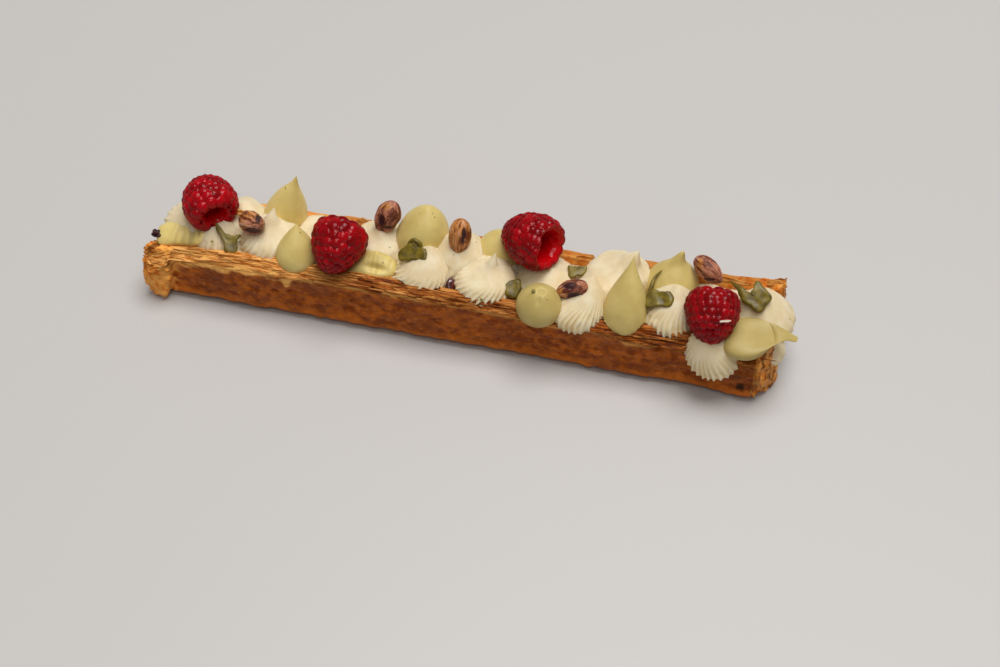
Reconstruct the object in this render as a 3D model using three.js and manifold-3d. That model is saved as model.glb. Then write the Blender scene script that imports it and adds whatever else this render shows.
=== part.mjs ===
// A pistachio mille-feuille: a long trough of caramelised puff pastry, filled with berry jam and piped
// along its top with vanilla cream rosettes and pistachio cream drops, then dressed with raspberries,
// whole pistachios and dabs of pistachio paste.
// Millimetres, +Z up. X runs along the pastry, and Y across it from the front wall to the back wall.
// The origin is at the middle of the flat underside.
import * as THREE from "three";
import { mergeVertices } from "three/addons/utils/BufferGeometryUtils.js";
import Module from "manifold-3d";

const wasm = await Module();
wasm.setup();

// Driving dimensions of the pastry trough
const pastry = {
  length: 250,
  width: 35,
  frontHeight: 25,
  frontOuterHeight: 21.6,
  frontWall: 7.2,
  footOut: 1.6, // how far the front wall widens down to its foot
  footHeight: 3.5, // below this the front wall is cut back
  backHeight: 26.4,
  backWall: 4.4,
  floor: 4.2,
  corner: 1.8,
  stations: 28,
};
// Height of the front wall's outer edge, by its place along X
const outerEdge = [
  [-130, 17.5], [-118, 18.5], [-107, 19.8], [-97, 21.2], [-86, 22.2], [-75, 22.4], [-65, 22.6], [-40, 22.8],
  [-22, 23.6], [-5, 23.8], [15, 22.6], [27, 21.3], [40, 22], [58, 23.2], [68, 20.6], [93, 21], [115, 20.4],
  [130, 19.5],
];

const jam = { top: 19.4, clearance: 0.6, endInset: 1.5, stations: 10 };
const contactGap = 0.34; // left between pieces that touch
const weldDistance = 1e-4;

// Piped vanilla cream rosettes, front row first: middle of the underside, widest radius, height, how far
// the tip leans along X and Y, how strongly the upper half narrows to a peak, and for one that slides over
// the front wall, its tilt about X in degrees
const rosettes = [
  { at: [102.2, -13.6, 17.8], radius: 10.8, height: 14.5, lean: [-5, 5], tilt: 36 },
  { at: [83.2, -3, 19.75], radius: 12.2, height: 17.5, lean: [1, 4] },
  { at: [47.3, -8.2, 19.75], radius: 11.2, height: 17, lean: [4, 7] },
  { at: [8.5, -3.6, 19.75], radius: 12.2, height: 17.5, lean: [4, 5], peak: 0.62 },
  { at: [-16.5, -4, 19.75], radius: 11.2, height: 15, lean: [3, 5] },
  { at: [-81, -1.4, 19.75], radius: 12, height: 17.5, lean: [2, 6], peak: 0.5 },
  { at: [-103, -3.6, 19.75], radius: 9, height: 12.5, lean: [4, 6] },
  { at: [119, 5, 18.5], radius: 12, height: 18, lean: [-4, 2] },
  { at: [121.5, -4.8, 13], radius: 8, height: 12.5, lean: [0, 3] },
  { at: [58.5, 8.5, 19.75], radius: 13.3, height: 20, lean: [8.5, 4.5], peak: 0.35 },
  { at: [31.5, 5, 19.75], radius: 12.5, height: 11.5, lean: [0, 0] },
  { at: [-4, 7, 19.75], radius: 12, height: 17, lean: [0, 2] },
  { at: [-37, 7.5, 19.75], radius: 11.5, height: 15, lean: [2, 2], peak: 0.4 },
  { at: [-63, 6.5, 19.75], radius: 11.5, height: 9.5, lean: [0, 1] },
  { at: [-95.5, 7, 19.75], radius: 12, height: 12.5, lean: [1, 1] },
  { at: [-113.5, 1.5, 19.75], radius: 12, height: 12.5, lean: [0, 2] },
];

// Pistachio cream drops from a plain round nozzle. A higher point makes a longer, thinner tip; the third
// number of the lean lets the tip sink, and a higher bend keeps the lean near the tip. Some are longer
// along X than across.
const drops = [
  { at: [65.7, -7.8, 20.5], radius: 8.8, height: 28.2, lean: [0.5, 10.3, 0], point: 1.7 },
  { at: [32.6, -12, 20.5], radius: 9.4, height: 16.5, lean: [0.5, -1.2, 0], point: 0.6 },
  { at: [-67.3, -8.2, 20.5], radius: 8.2, height: 18, lean: [-0.5, 5, 0], point: 1.1 },
  { at: [112.6, -11.8, 23.2], radius: 9.6, height: 17, lean: [20, 5.8, -12.8], point: 0.9, bend: 2.6 },
  {
    at: [-114.3, -5.6, 21.2],
    radius: 8.8,
    height: 6.6,
    lean: [-1.5, 1, 0],
    point: 0.5,
    along: 1.36,
    across: 0.66,
  },
  {
    at: [-36.6, -5, 21],
    radius: 8.6,
    height: 8.2,
    lean: [1, 1.5, 0],
    point: 0.7,
    along: 1.15,
    across: 0.78,
  },
  { at: [81, 10, 19.75], radius: 10.9, height: 18, lean: [1.5, 3, 0], point: 0.7 },
  { at: [-20.6, 11.3, 19.75], radius: 10.5, height: 22.5, lean: [2.2, 2.5, 0], point: 0.45 },
  { at: [10.2, 12, 19.75], radius: 8.8, height: 15.5, lean: [1, 2, 0], point: 0.6 },
  { at: [-78, 12, 19.75], radius: 8.9, height: 26, lean: [5.5, 2, 0], point: 1.35 },
];

// Raspberries: middle of the fruit, its greatest radius, its length, the direction of its stem end, how
// much it narrows towards the tip, and for one that is hollow, how far round from the tip its rim lies
const raspberries = [
  { at: [-105.6, 2, 36], radius: 10.8, length: 21.5, stem: [0.6, -0.8, -0.1], taper: 0, rim: 2.58 },
  { at: [-50.2, -6, 34.2], radius: 12.5, length: 22, stem: [0.12, 0.91, 0.38], taper: 0.34 },
  { at: [25.6, 9.5, 38.6], radius: 11.3, length: 26, stem: [0.88, -0.42, 0.2], taper: 0.12, rim: 2.42 },
  { at: [99, -8.5, 35.8], radius: 11, length: 22, stem: [-0.1, 0.75, 0.45], taper: 0.18 },
];

// Whole pistachios: middle, length, width, and the direction of the long axis
const pistachios = [
  { at: [-86.3, -2.9, 34.2], length: 12.8, width: 10.2, axis: [0.72, -0.42, 0.5] },
  { at: [-34.3, 10.5, 36], length: 15.5, width: 9.4, axis: [-0.3, -0.38, -0.87] },
  { at: [-3.8, 6.5, 36.5], length: 15.8, width: 8.6, axis: [-0.02, -0.45, -0.9] },
  { at: [44.4, -6.3, 31.8], length: 13.4, width: 9, axis: [-0.93, -0.2, -0.25] },
  { at: [94.5, 12.3, 36], length: 14.5, width: 9, axis: [0.8, -0.55, -0.15] },
];

// Dabs of dark pistachio paste: middle, the direction that the flat smear faces, its thickness, and its
// outline as [x, y] from the middle. Some end in a drawn-out stroke through the given points.
const dabs = [
  {
    at: [-94.6, -9.1, 26.9],
    facing: [0.15, -0.5, 0.85],
    thick: 1.5,
    outline: [
      [2.6, 1.7], [3.6, 3.8], [1, 2.8], [0, 2.7], [-2.3, 2.7], [-7.4, 5.4], [-6.6, 3.3], [-4.2, 1.2],
      [-2.8, -0.1], [-2, -0.9], [-2, -2.2], [-0.9, -3.5], [1.2, -3.4], [3.3, -2.8], [3.4, -1.1], [2.7, 0],
    ],
  },
  {
    at: [-20.7, -1.9, 31.4],
    facing: [-0.15, -0.5, 0.85],
    thick: 2,
    outline: [
      [5.3, 1.6], [2.7, 2.3], [0.3, 2.3], [-2.1, 3.8], [-3.6, 2.4], [-5.2, 1.3], [-6, -0.7], [-5.3, -2.3],
      [-2.2, -2.5], [-0.6, -2.6], [0.5, -2.2], [1.7, -2.4], [3.1, -2.1], [6.6, -2.1], [6.4, -0.4],
    ],
    stroke: [[-23.6, -0.2, 31], [-23.2, 1.8, 33.4], [-21.3, 2.4, 34.8], [-19.1, 1.9, 34], [-18.3, 1.3, 32.6]],
    wide: 1,
  },
  {
    at: [20.8, -7.1, 27.2],
    facing: [0.1, -0.5, 0.86],
    thick: 1.7,
    outline: [
      [3.2, 1.8], [1.9, 3.8], [-0.5, 3], [-2.5, 1.6], [-3.5, 0.6], [-4, -1], [-2.3, -2.8], [-0.6, -3.2],
      [1.3, -3.4], [2.6, -2.2], [3, -0.8], [3.4, 0.4],
    ],
  },
  {
    at: [43.7, 7.6, 27.3],
    facing: [0.1, -0.45, 0.89],
    thick: 1.2,
    outline: [
      [3.5, 2.4], [0.9, 2], [-0.4, 1.7], [-1.8, 1.5], [-4, 1], [-3.4, -0.8], [-2.7, -3], [-0.8, -2.8],
      [0.4, -1.8], [1.9, -1.5], [3.2, -0.2], [3.7, 0.4],
    ],
  },
  {
    at: [78.3, -4.2, 33.2],
    facing: [-0.15, -0.45, 0.88],
    thick: 1.8,
    outline: [
      [5.4, 0.4], [3.8, 2.6], [1.1, 2.7], [-0.4, 2.7], [-3.6, 3.1], [-5, 1.7], [-5.5, -0.4], [-4.6, -3.5],
      [-0.8, -2.9], [0.9, -2.7], [3, -2.9], [5.1, -1.7],
    ],
    stroke: [
      [76.8, 8.7, 35.2], [75.1, 6.9, 33.6], [74.2, 4.6, 32.6], [74, 2.2, 31.9], [73.9, -0.6, 31.8],
      [74.6, -3.2, 32.4],
    ],
    wide: 1.1,
  },
  {
    at: [114.8, 3.2, 34.6],
    facing: [-0.1, -0.46, 0.88],
    thick: 2.2,
    outline: [
      [5.5, 1.2], [3.6, 3], [2, 4.3], [-1.2, 6.3], [-2.2, 3], [-2.9, 1.8], [-8.4, 3.2], [-7.5, 1.4],
      [-6.3, -0.4], [-4.4, -2.2], [-2.3, -3], [-0.5, -4.3], [2.1, -4.8], [3.6, -3.5], [4.2, -1.9],
    ],
    stroke: [[103.6, 10.6, 33.6], [105.4, 8.9, 33.9], [107.4, 7.4, 34.2], [109.4, 6.2, 34.4]],
    wide: 1.1,
  },
];

// Colours, as sRGB, and surface finish
const materials = {
  pastry: new THREE.MeshStandardMaterial({ color: 0xb0713a, roughness: 0.7, metalness: 0 }),
  jam: new THREE.MeshStandardMaterial({ color: 0x4a0f16, roughness: 0.25, metalness: 0 }),
  cream: new THREE.MeshStandardMaterial({ color: 0xf1e6c8, roughness: 0.5, metalness: 0 }),
  pistachioCream: new THREE.MeshStandardMaterial({ color: 0xc3b878, roughness: 0.45, metalness: 0 }),
  raspberry: new THREE.MeshStandardMaterial({ color: 0xa51224, roughness: 0.35, metalness: 0 }),
  nutSkin: new THREE.MeshStandardMaterial({ color: 0x7b4a38, roughness: 0.6, metalness: 0 }),
  paste: new THREE.MeshStandardMaterial({ color: 0x5d5c22, roughness: 0.2, metalness: 0 }),
};

// 0 before the first edge, 1 after the second, and smooth in between
function ramp(value, from, to) {
  const t = THREE.MathUtils.clamp((value - from) / (to - from), 0, 1);
  return t * t * (3 - 2 * t);
}

// The triangles of a geometry with shared vertices welded and the collapsed ones left out
function welded(geometry) {
  const bare = new THREE.BufferGeometry();
  bare.setAttribute("position", geometry.getAttribute("position"));
  if (geometry.index) bare.setIndex(geometry.index);
  const merged = mergeVertices(bare, weldDistance);
  const index = [];
  for (let i = 0; i < merged.index.count; i += 3) {
    const [a, b, c] = [0, 1, 2].map((k) => merged.index.getX(i + k));
    if (a !== b && b !== c && a !== c) index.push(a, b, c);
  }
  merged.setIndex(index);
  return merged;
}

// A closed geometry as a solid, with its faces turned outwards
function solidOf(geometry) {
  const closed = welded(geometry);
  const triVerts = new Uint32Array(closed.index.array);
  const vertProperties = new Float32Array(closed.getAttribute("position").array);
  const made = new wasm.Manifold(new wasm.Mesh({ numProp: 3, vertProperties, triVerts }));
  if (made.volume() > 0) return made;
  for (let i = 0; i < triVerts.length; i += 3) {
    [triVerts[i + 1], triVerts[i + 2]] = [triVerts[i + 2], triVerts[i + 1]];
  }
  return new wasm.Manifold(new wasm.Mesh({ numProp: 3, vertProperties, triVerts }));
}

// The geometry of a solid
function geometryOf(solid) {
  const { numProp, vertProperties, triVerts } = solid.getMesh();
  const position = new Float32Array((vertProperties.length / numProp) * 3);
  for (let i = 0; i < position.length / 3; i++) {
    position.set(vertProperties.subarray(i * numProp, i * numProp + 3), i * 3);
  }
  const geometry = new THREE.BufferGeometry();
  geometry.setAttribute("position", new THREE.BufferAttribute(position, 3));
  geometry.setIndex(new THREE.BufferAttribute(new Uint32Array(triVerts), 1));
  geometry.computeVertexNormals();
  return geometry;
}

// The same solid with every vertex moved outwards, which cuts a neighbour back to the contact gap
function grown(solid, distance) {
  const geometry = geometryOf(solid);
  const position = geometry.getAttribute("position");
  const normal = geometry.getAttribute("normal");
  for (let i = 0; i < position.count; i++) {
    position.setXYZ(
      i,
      position.getX(i) + normal.getX(i) * distance,
      position.getY(i) + normal.getY(i) * distance,
      position.getZ(i) + normal.getZ(i) * distance,
    );
  }
  return solidOf(geometry);
}

// The largest of the bodies that cutting leaves
function largestBody(solid) {
  return solid.decompose().reduce((best, body) => (body.volume() > best.volume() ? body : best));
}

// A lathe body about +Z from [radius, height] pairs that start and end on the axis.
// shape(radius, height, turn, along) gives each point's new place; turn is its angle, along runs 0 to 1.
function turned(outline, segments, shape) {
  const lathe = new THREE.LatheGeometry(
    outline.map(([radius, height]) => new THREE.Vector2(radius, height)),
    segments,
  );
  const uv = lathe.getAttribute("uv");
  const position = lathe.getAttribute("position");
  for (let i = 0; i < position.count; i++) {
    const radius = Math.hypot(position.getX(i), position.getZ(i));
    const turn = (uv.getX(i) % 1) * 2 * Math.PI;
    const moved = shape(radius < 1e-6 ? 0 : radius, position.getY(i), turn, uv.getY(i));
    position.setXYZ(i, moved.x, moved.y, moved.z);
  }
  return lathe;
}

// Teardrop outline: height (1 - cos a) / 2 and radius sin(a) cos(a / 2)^point, a from start to half a
// turn. A start above 0 leaves a flat underside, and heights are then measured from it.
function dropOutline(radius, height, point, rings, start = 0) {
  const widest =
    (2 / Math.sqrt(point + 2)) * Math.pow((point + 1) / (point + 2), (point + 1) / 2);
  const cap = Math.cos(start) + 1;
  const outline = Array.from({ length: rings + 1 }, (_, i) => {
    const a = start + ((Math.PI - start) * i) / rings;
    const across = (Math.sin(a) * Math.pow(Math.cos(a / 2), point)) / widest;
    return [radius * across, (height * (Math.cos(start) - Math.cos(a))) / cap];
  });
  outline[rings][0] = 0;
  if (start > 0) outline.unshift([0, 0]);
  outline[0][0] = 0;
  return outline;
}

// The trough's section across X: a U with a thinner, higher back wall and a thick front wall, whose top is
// bevelled in steps of broken layers and whose foot is cut back
function troughSection() {
  const half = pastry.width / 2;
  const c = pastry.corner;
  const innerFront = -half + pastry.frontWall;
  const innerBack = half - pastry.backWall;
  const top = pastry.frontHeight;
  const outer = pastry.frontOuterHeight;
  const bevelStart = innerFront - pastry.frontWall * 0.45;
  // share of the way out and down along the bevel for each broken edge
  const steps = [[0.3, 0.12], [0.34, 0.34], [0.66, 0.5], [0.7, 0.74], [1, 1]];
  const section = new THREE.Shape();
  section.moveTo(-half + 6.1, 0);
  section.lineTo(half - c, 0);
  section.quadraticCurveTo(half, 0, half, c);
  section.lineTo(half, pastry.backHeight - 1);
  section.lineTo(half - 1, pastry.backHeight);
  section.lineTo(innerBack + 0.8, pastry.backHeight);
  section.lineTo(innerBack, pastry.backHeight - 0.8);
  section.lineTo(innerBack, pastry.floor);
  section.lineTo(innerFront, pastry.floor);
  section.lineTo(innerFront, top - 0.8);
  section.lineTo(innerFront - 0.8, top);
  section.lineTo(bevelStart, top);
  for (const [out, down] of steps) {
    section.lineTo(bevelStart + (-half + 0.3 - bevelStart) * out, top + (outer - top) * down);
  }
  section.lineTo(-half, outer - 1.4);
  section.lineTo(-half - pastry.footOut * 0.2, outer * 0.67);
  section.lineTo(-half - pastry.footOut * 0.5, outer * 0.4);
  section.lineTo(-half - pastry.footOut, pastry.footHeight);
  section.lineTo(-half - pastry.footOut + 0.5, pastry.footHeight - 0.8);
  section.lineTo(-half + 5.3, pastry.footHeight - 1.8);
  section.closePath();
  return section;
}

// The jam's section: it fills the trough up to its level surface
function jamSection() {
  const front = -pastry.width / 2 + pastry.frontWall + jam.clearance;
  const back = pastry.width / 2 - pastry.backWall - jam.clearance;
  const bottom = pastry.floor + jam.clearance;
  const section = new THREE.Shape();
  section.moveTo(front, bottom + 0.8);
  section.lineTo(front + 0.8, bottom);
  section.lineTo(back - 0.8, bottom);
  section.lineTo(back, bottom + 0.8);
  section.lineTo(back, jam.top);
  section.lineTo(front, jam.top);
  section.closePath();
  return section;
}

// What piped pieces at the back rest on: the back wall's rim, falling away behind it
function rimSection() {
  const half = pastry.width / 2;
  const behind = 12;
  const section = new THREE.Shape();
  section.moveTo(half - pastry.backWall, pastry.floor);
  section.lineTo(half + behind, pastry.floor);
  section.lineTo(half + behind, pastry.backHeight - behind * 0.8);
  section.lineTo(half, pastry.backHeight + contactGap);
  section.lineTo(half - pastry.backWall, pastry.backHeight + contactGap);
  section.closePath();
  return section;
}

// Height of the front wall's outer edge at a place along X
function edgeHeight(x) {
  const after = Math.max(1, outerEdge.findIndex(([at]) => at >= x));
  const [[x0, z0], [x1, z1]] = [outerEdge[after - 1], outerEdge[after]];
  return THREE.MathUtils.mapLinear(x, x0, x1, z0, z1);
}

// Uneven lumps, from about -1 to 1
function lumps(x, y, z) {
  const coarse = Math.sin(0.83 * x + 1.1 * z + 0.5 * y) * Math.sin(0.47 * x - 0.9 * z + 1.3);
  return coarse + 0.4 * Math.sin(2.3 * x + 1.9 * z);
}

// Unevenness of the baked trough: wavy walls with rough layers, a back wall that rises and leans to the
// right, a front wall that sinks and ends in a craggy, puffed lobe on the left, and a plan that is rounded
// off at the right front
function bakedShape(p) {
  const { x, y, z } = p;
  const up = ramp(z, 2, pastry.frontHeight);
  const high = ramp(z, 14, 22);
  const front = ramp(-y, 5, 9);
  const outer = ramp(-y, 11, 17);
  const back = ramp(y, 5, 12);
  const puff = ramp(-x - 2.6 * (1 - ramp(z, 0, 14)), 116.4, 119) * ramp(-y, 10, 15);
  const round = 1 - Math.sqrt(1 - THREE.MathUtils.clamp((-y - 4) / 15, 0, 0.97) ** 2);
  const relief = lumps(x, y, z);

  p.z *= 1 + back * (0.00085 * x + 0.015 * Math.sin(x / 9) * up + 0.11 * ramp(x, 118, 125) * high);
  p.z -= 3 * front * ramp(-x, 82, 118) * high * (1 - outer);
  p.z += ramp(-y, 13.3, 17) * high * (edgeHeight(x) - pastry.frontOuterHeight);
  p.z += front * (1 - back) * high * (0.4 + 0.6 * puff) * relief;
  p.y += back * up * (0.8 + 0.012 * x + 0.35 * Math.sin(x / 13 + 1));
  p.y += outer * (0.4 * Math.sin(x / 11) * ramp(z, 1, 8) * (1 - ramp(x, 95, 108)) - 0.7 * ramp(x, 96, 112));
  p.y -= puff * (3 - 0.9 * ramp(z, 8, 24)) * (1 - 0.5 * ramp(-x, 122, 125));
  p.y -= outer * ramp(z, 1.5, 4) * (0.5 + 0.9 * puff + 0.3 * ramp(x, 116, 120)) * relief;
  p.x -= ramp(-x, 120, 125) * (front * (1.4 + 2.6 * puff) - 4 * back * up);
  p.x += 3.4 * ramp(-x, 119, 125) * front * (1 - ramp(z, 0, 8));
  p.x += ramp(x, 108, 125) * (2.4 - 2.2 * back - 9 * round - 3.5 * front * ramp(z, 8, 24));
  p.x += outer * ramp(Math.abs(x), 122, 125) * 0.8 * lumps(z * 2, y, x);
  return p;
}

// A section carried along X with stations that crowd towards the ends, in its baked shape
function baked(section, length, stations) {
  const geometry = new THREE.ExtrudeGeometry(section, {
    depth: 2,
    steps: stations,
    curveSegments: 2,
    bevelEnabled: false,
  });
  // the section's x, y and depth become the object's Y, Z and X
  const position = geometry.getAttribute("position");
  const p = new THREE.Vector3();
  for (let i = 0; i < position.count; i++) {
    const t = position.getZ(i) - 1;
    p.set((length / 2) * (1.25 * t - 0.25 * t * t * t), position.getX(i), position.getY(i));
    bakedShape(p);
    position.setXYZ(i, p.x, p.y, p.z);
  }
  return solidOf(geometry);
}

// Piped rosette: a teardrop with a flat underside whose radius dips between the nozzle's teeth, leaning
// more towards its tip
function creamRosette({ at, radius, height, lean, peak = 0, tilt = 0 }) {
  const ridges = 10;
  const depth = 0.13;
  const swirl = 0.4;
  const tip = new THREE.Euler(THREE.MathUtils.degToRad(tilt), 0, 0);
  return turned(dropOutline(radius, height, 1.1, 5, 0.75), ridges * 2, (r, z, turn, along) => {
    const share = z / height;
    const crest = Math.abs(Math.cos((turn * ridges) / 2));
    const fade = 1 - ramp(share, 0.75, 1);
    const across = r * (1 - depth * (1 - crest) * fade) * (1 - peak * ramp(share, 0.46, 0.74));
    const angle = turn + swirl * along;
    const bend = share * share;
    return new THREE.Vector3(
      across * Math.cos(angle) + lean[0] * bend,
      across * Math.sin(angle) + lean[1] * bend,
      z,
    )
      .applyEuler(tip)
      .add(new THREE.Vector3(...at));
  });
}

// Plain drop of pistachio cream, with a flat underside and a pointed tip that leans over
function creamDrop({ at, radius, height, lean, point, bend = 2, along = 1, across = 1 }) {
  return turned(dropOutline(radius, height, point, 5, 0.6), 12, (r, z, turn) => {
    const share = Math.pow(z / height, bend);
    return new THREE.Vector3(
      at[0] + r * Math.cos(turn) * along + lean[0] * share,
      at[1] + r * Math.sin(turn) * across + lean[1] * share,
      at[2] + z + lean[2] * share,
    );
  });
}

// A rosette piped beside others is flat where it meets them, on the upright plane midway between the
// two outlines. Each block covers what lies beyond one such plane.
function blocksBeside(rosette, others) {
  const size = 90;
  return others.flatMap((other) => {
    const dx = other.at[0] - rosette.at[0];
    const dy = other.at[1] - rosette.at[1];
    const apart = Math.hypot(dx, dy);
    if (other === rosette || apart >= rosette.radius + other.radius + contactGap) return [];
    const reach = (apart * apart + rosette.radius ** 2 - other.radius ** 2) / (2 * apart);
    const block = new THREE.BoxGeometry(size, size, size);
    block.translate(reach - contactGap / 2 + size / 2, 0, 0);
    block.rotateZ(Math.atan2(dy, dx));
    block.translate(...rosette.at);
    return [solidOf(block)];
  });
}

// Turns local +Z to a direction
function facing(direction) {
  const target = new THREE.Vector3(...direction).normalize();
  return new THREE.Quaternion().setFromUnitVectors(new THREE.Vector3(0, 0, 1), target);
}

// Raspberry: rows of drupelets round a thimble, each row turned half a drupelet from the last. A rim makes
// it hollow.
function raspberry({ at, radius, length, stem, taper, rim, around = 9, rows = 5, relief = 0.1 }) {
  const rings = rows * 2;
  const outline = Array.from({ length: rings + 1 }, (_, i) => {
    const a = ((rim ?? Math.PI) * i) / rings;
    const tipHalf = a < Math.PI / 2;
    const across = Math.pow(Math.sin(a), tipHalf ? 1 : 0.72) * (1 - (taper * (1 + Math.cos(a))) / 2);
    const closed = i === 0 || (!rim && i === rings);
    return [closed ? 0 : radius * across, -length * (tipHalf ? 0.58 : 0.42) * Math.cos(a)];
  });
  if (rim) {
    const [edge, depth] = outline[rings];
    outline.push([edge * 0.7, depth - length * 0.05]);
    outline.push([edge * 0.5, depth - length * 0.45]);
    outline.push([0, depth - length * 0.55]);
  }
  const direction = facing(stem);
  const last = outline.length - 1;
  return turned(outline, around * 2, (r, z, turn, along) => {
    const ring = Math.round(along * last);
    const outside = ring > 0 && ring < rings;
    const column = Math.round((turn / (2 * Math.PI)) * around * 2);
    const crest = outside && ring % 2 === 1 && (column + (ring - 1) / 2) % 2 === 0;
    const swell = outside ? (crest ? 1 + relief : 1 - relief * 0.4) : 1;
    return new THREE.Vector3(r * swell * Math.cos(turn), r * swell * Math.sin(turn), z)
      .applyQuaternion(direction)
      .add(new THREE.Vector3(...at));
  });
}

// The hollow that a raspberry presses into the cream: its outline without drupelets
function raspberrySocket(fruit) {
  const radius = fruit.radius * 1.17;
  const length = fruit.length * 1.1;
  return raspberry({ ...fruit, radius, length, rim: undefined, around: 6, rows: 3, relief: 0 });
}

// Pistachio kernel: an egg with a blunt point and a faint keel
function pistachio({ at, length, width, axis }) {
  const direction = facing(axis);
  return turned(dropOutline(width / 2, length, 0.3, 6), 10, (r, z, turn) => {
    const keel = 1 + 0.05 * Math.cos(2 * turn);
    return new THREE.Vector3(r * keel * Math.cos(turn), r * 0.9 * Math.sin(turn), z - length / 2)
      .applyQuaternion(direction)
      .add(new THREE.Vector3(...at));
  });
}

// Dab of paste: a flat smear between a raised and a lower face that meet at its outline, and its stroke
function pasteDab({ at, facing: normal, thick, outline, stroke, wide }) {
  const face = new THREE.Vector3(...normal).normalize();
  const middle = new THREE.Vector3(...at);
  // share of the outline and height for each ring, from the middle of the raised face round to the lower one
  const rings = [[0, 0.7], [0.72, 1], [1, 0.35], [1, -0.1], [0.6, -0.8], [0, -0.8]];
  const last = rings.length - 1;
  const profile = rings.map(([, height], i) => [i % last ? 1 : 0, height]);
  const smear = turned(profile, outline.length, (r, z, turn, along) => {
    const [share] = rings[Math.round(along * last)];
    const corner = Math.round((turn / (2 * Math.PI)) * outline.length) % outline.length;
    const [x, y] = outline[corner].map((v) => v * share);
    const slope = -(face.x * x + face.y * y) / face.z;
    return new THREE.Vector3(x, y, slope).addScaledVector(face, z * thick).add(middle);
  });
  if (!stroke) return smear;
  const spine = new THREE.CatmullRomCurve3(stroke.map((p) => new THREE.Vector3(...p)));
  const count = 5;
  const swelling = Array.from({ length: count + 1 }, (_, i) => {
    return [i % count ? wide * Math.sin((Math.PI * (i + 0.5)) / (2 * count)) : 0, i / count];
  });
  const tube = turned(swelling, 6, (r, share, turn) => {
    const tangent = spine.getTangentAt(share);
    const side = new THREE.Vector3().crossVectors(face, tangent).normalize();
    const over = new THREE.Vector3().crossVectors(tangent, side);
    return spine
      .getPointAt(share)
      .addScaledVector(side, r * Math.cos(turn))
      .addScaledVector(over, r * Math.sin(turn));
  });
  return geometryOf(solidOf(smear).add(solidOf(tube)));
}

// Pieces in the order in which they keep their form: each later one is cut back from those before it
const kinds = [
  { name: "raspberry", list: raspberries, make: raspberry, material: materials.raspberry },
  { name: "pistachio", list: pistachios, make: pistachio, material: materials.nutSkin },
  { name: "pistachio_paste", list: dabs, make: pasteDab, material: materials.paste },
  { name: "pistachio_cream", list: drops, make: creamDrop, material: materials.pistachioCream },
];

const trough = baked(troughSection(), pastry.length, pastry.stations);
const filling = baked(jamSection(), pastry.length - 2 * jam.endInset, jam.stations);
const rim = baked(rimSection(), pastry.length + 2 * contactGap, pastry.stations);
const cutters = [grown(trough, contactGap).add(trough).add(rim), grown(filling, contactGap)];

const milleFeuille = new THREE.Group();
milleFeuille.name = "pistachio_mille_feuille";

function addPiece(name, solid, material, home = [0, 0, 0]) {
  const geometry = geometryOf(solid).translate(-home[0], -home[1], -home[2]);
  const mesh = new THREE.Mesh(geometry, material);
  mesh.name = name;
  mesh.position.set(...home);
  milleFeuille.add(mesh);
}

function cutBack(solid, blocks) {
  return largestBody(blocks.reduce((left, block) => left.subtract(block), solid));
}

addPiece("pastry_trough", trough, materials.pastry);
addPiece("berry_jam", filling, materials.jam);
for (const { name, list, make, material } of kinds) {
  list.forEach((piece, i) => {
    const whole = solidOf(make(piece));
    addPiece(`${name}_${i + 1}`, cutBack(whole, cutters), material, piece.at);
    const socket = make === raspberry ? solidOf(raspberrySocket(piece)) : grown(whole, contactGap);
    cutters.push(socket);
  });
}
rosettes.forEach((rosette, i) => {
  const blocks = [...blocksBeside(rosette, rosettes), ...cutters];
  const kept = cutBack(solidOf(creamRosette(rosette)), blocks);
  addPiece(`cream_rosette_${i + 1}`, kept, materials.cream, rosette.at);
});

export default milleFeuille;
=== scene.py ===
import bpy
import numpy as np
from mathutils import Euler, Matrix


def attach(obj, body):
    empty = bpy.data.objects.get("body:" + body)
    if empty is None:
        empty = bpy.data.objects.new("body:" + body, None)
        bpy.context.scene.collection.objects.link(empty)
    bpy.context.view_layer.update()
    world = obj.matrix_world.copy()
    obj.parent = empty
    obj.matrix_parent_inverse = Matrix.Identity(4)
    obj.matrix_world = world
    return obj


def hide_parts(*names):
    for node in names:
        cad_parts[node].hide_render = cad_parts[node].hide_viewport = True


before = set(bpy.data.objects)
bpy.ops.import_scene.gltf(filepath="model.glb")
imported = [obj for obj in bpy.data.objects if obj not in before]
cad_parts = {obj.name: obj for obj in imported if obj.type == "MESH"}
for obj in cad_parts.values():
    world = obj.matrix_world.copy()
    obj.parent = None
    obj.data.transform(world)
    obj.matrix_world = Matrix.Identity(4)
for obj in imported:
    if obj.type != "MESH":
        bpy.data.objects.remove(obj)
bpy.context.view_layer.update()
mm = 0.001
fullTurn = 2 * np.pi
print("frame loaded:", len(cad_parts), "nodes")


# numbers and noise

def ramp(value, start, end):
    # 0 before start, 1 after end, and 3t^2 - 2t^3 in between
    t = np.clip((value - start) / (end - start), 0, 1)
    return t * t * (3 - 2 * t)


def noise(points, size, seed):
    # random numbers from -1 to 1 at the corners of a lattice of that cell size, smoothly blended
    table = np.random.default_rng(seed).uniform(-1, 1, (24, 24, 24))
    cell = points / (np.ones(3) * size) + 7.31
    low = np.floor(cell).astype(int)
    part = cell - low
    part = part * part * (3 - 2 * part)
    total = 0.0
    for corner in np.ndindex(2, 2, 2):
        weight = np.prod(np.where(corner, part, 1 - part), axis=-1)
        total = total + weight * table[tuple(np.moveaxis((low + corner) % 24, -1, 0))]
    return total


def crags(points, size, seed, octaves=3):
    # noise plus itself at half the size and half the height, and so on
    size = np.ones(3) * size
    return sum(noise(points, size / 2 ** k, seed + k) / 2 ** k for k in range(octaves))


def alongX(x, size, seed):
    # one-dimensional noise along the pastry
    return noise(np.stack([x, 0 * x, 0 * x], -1), size, seed)


# meshes

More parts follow.
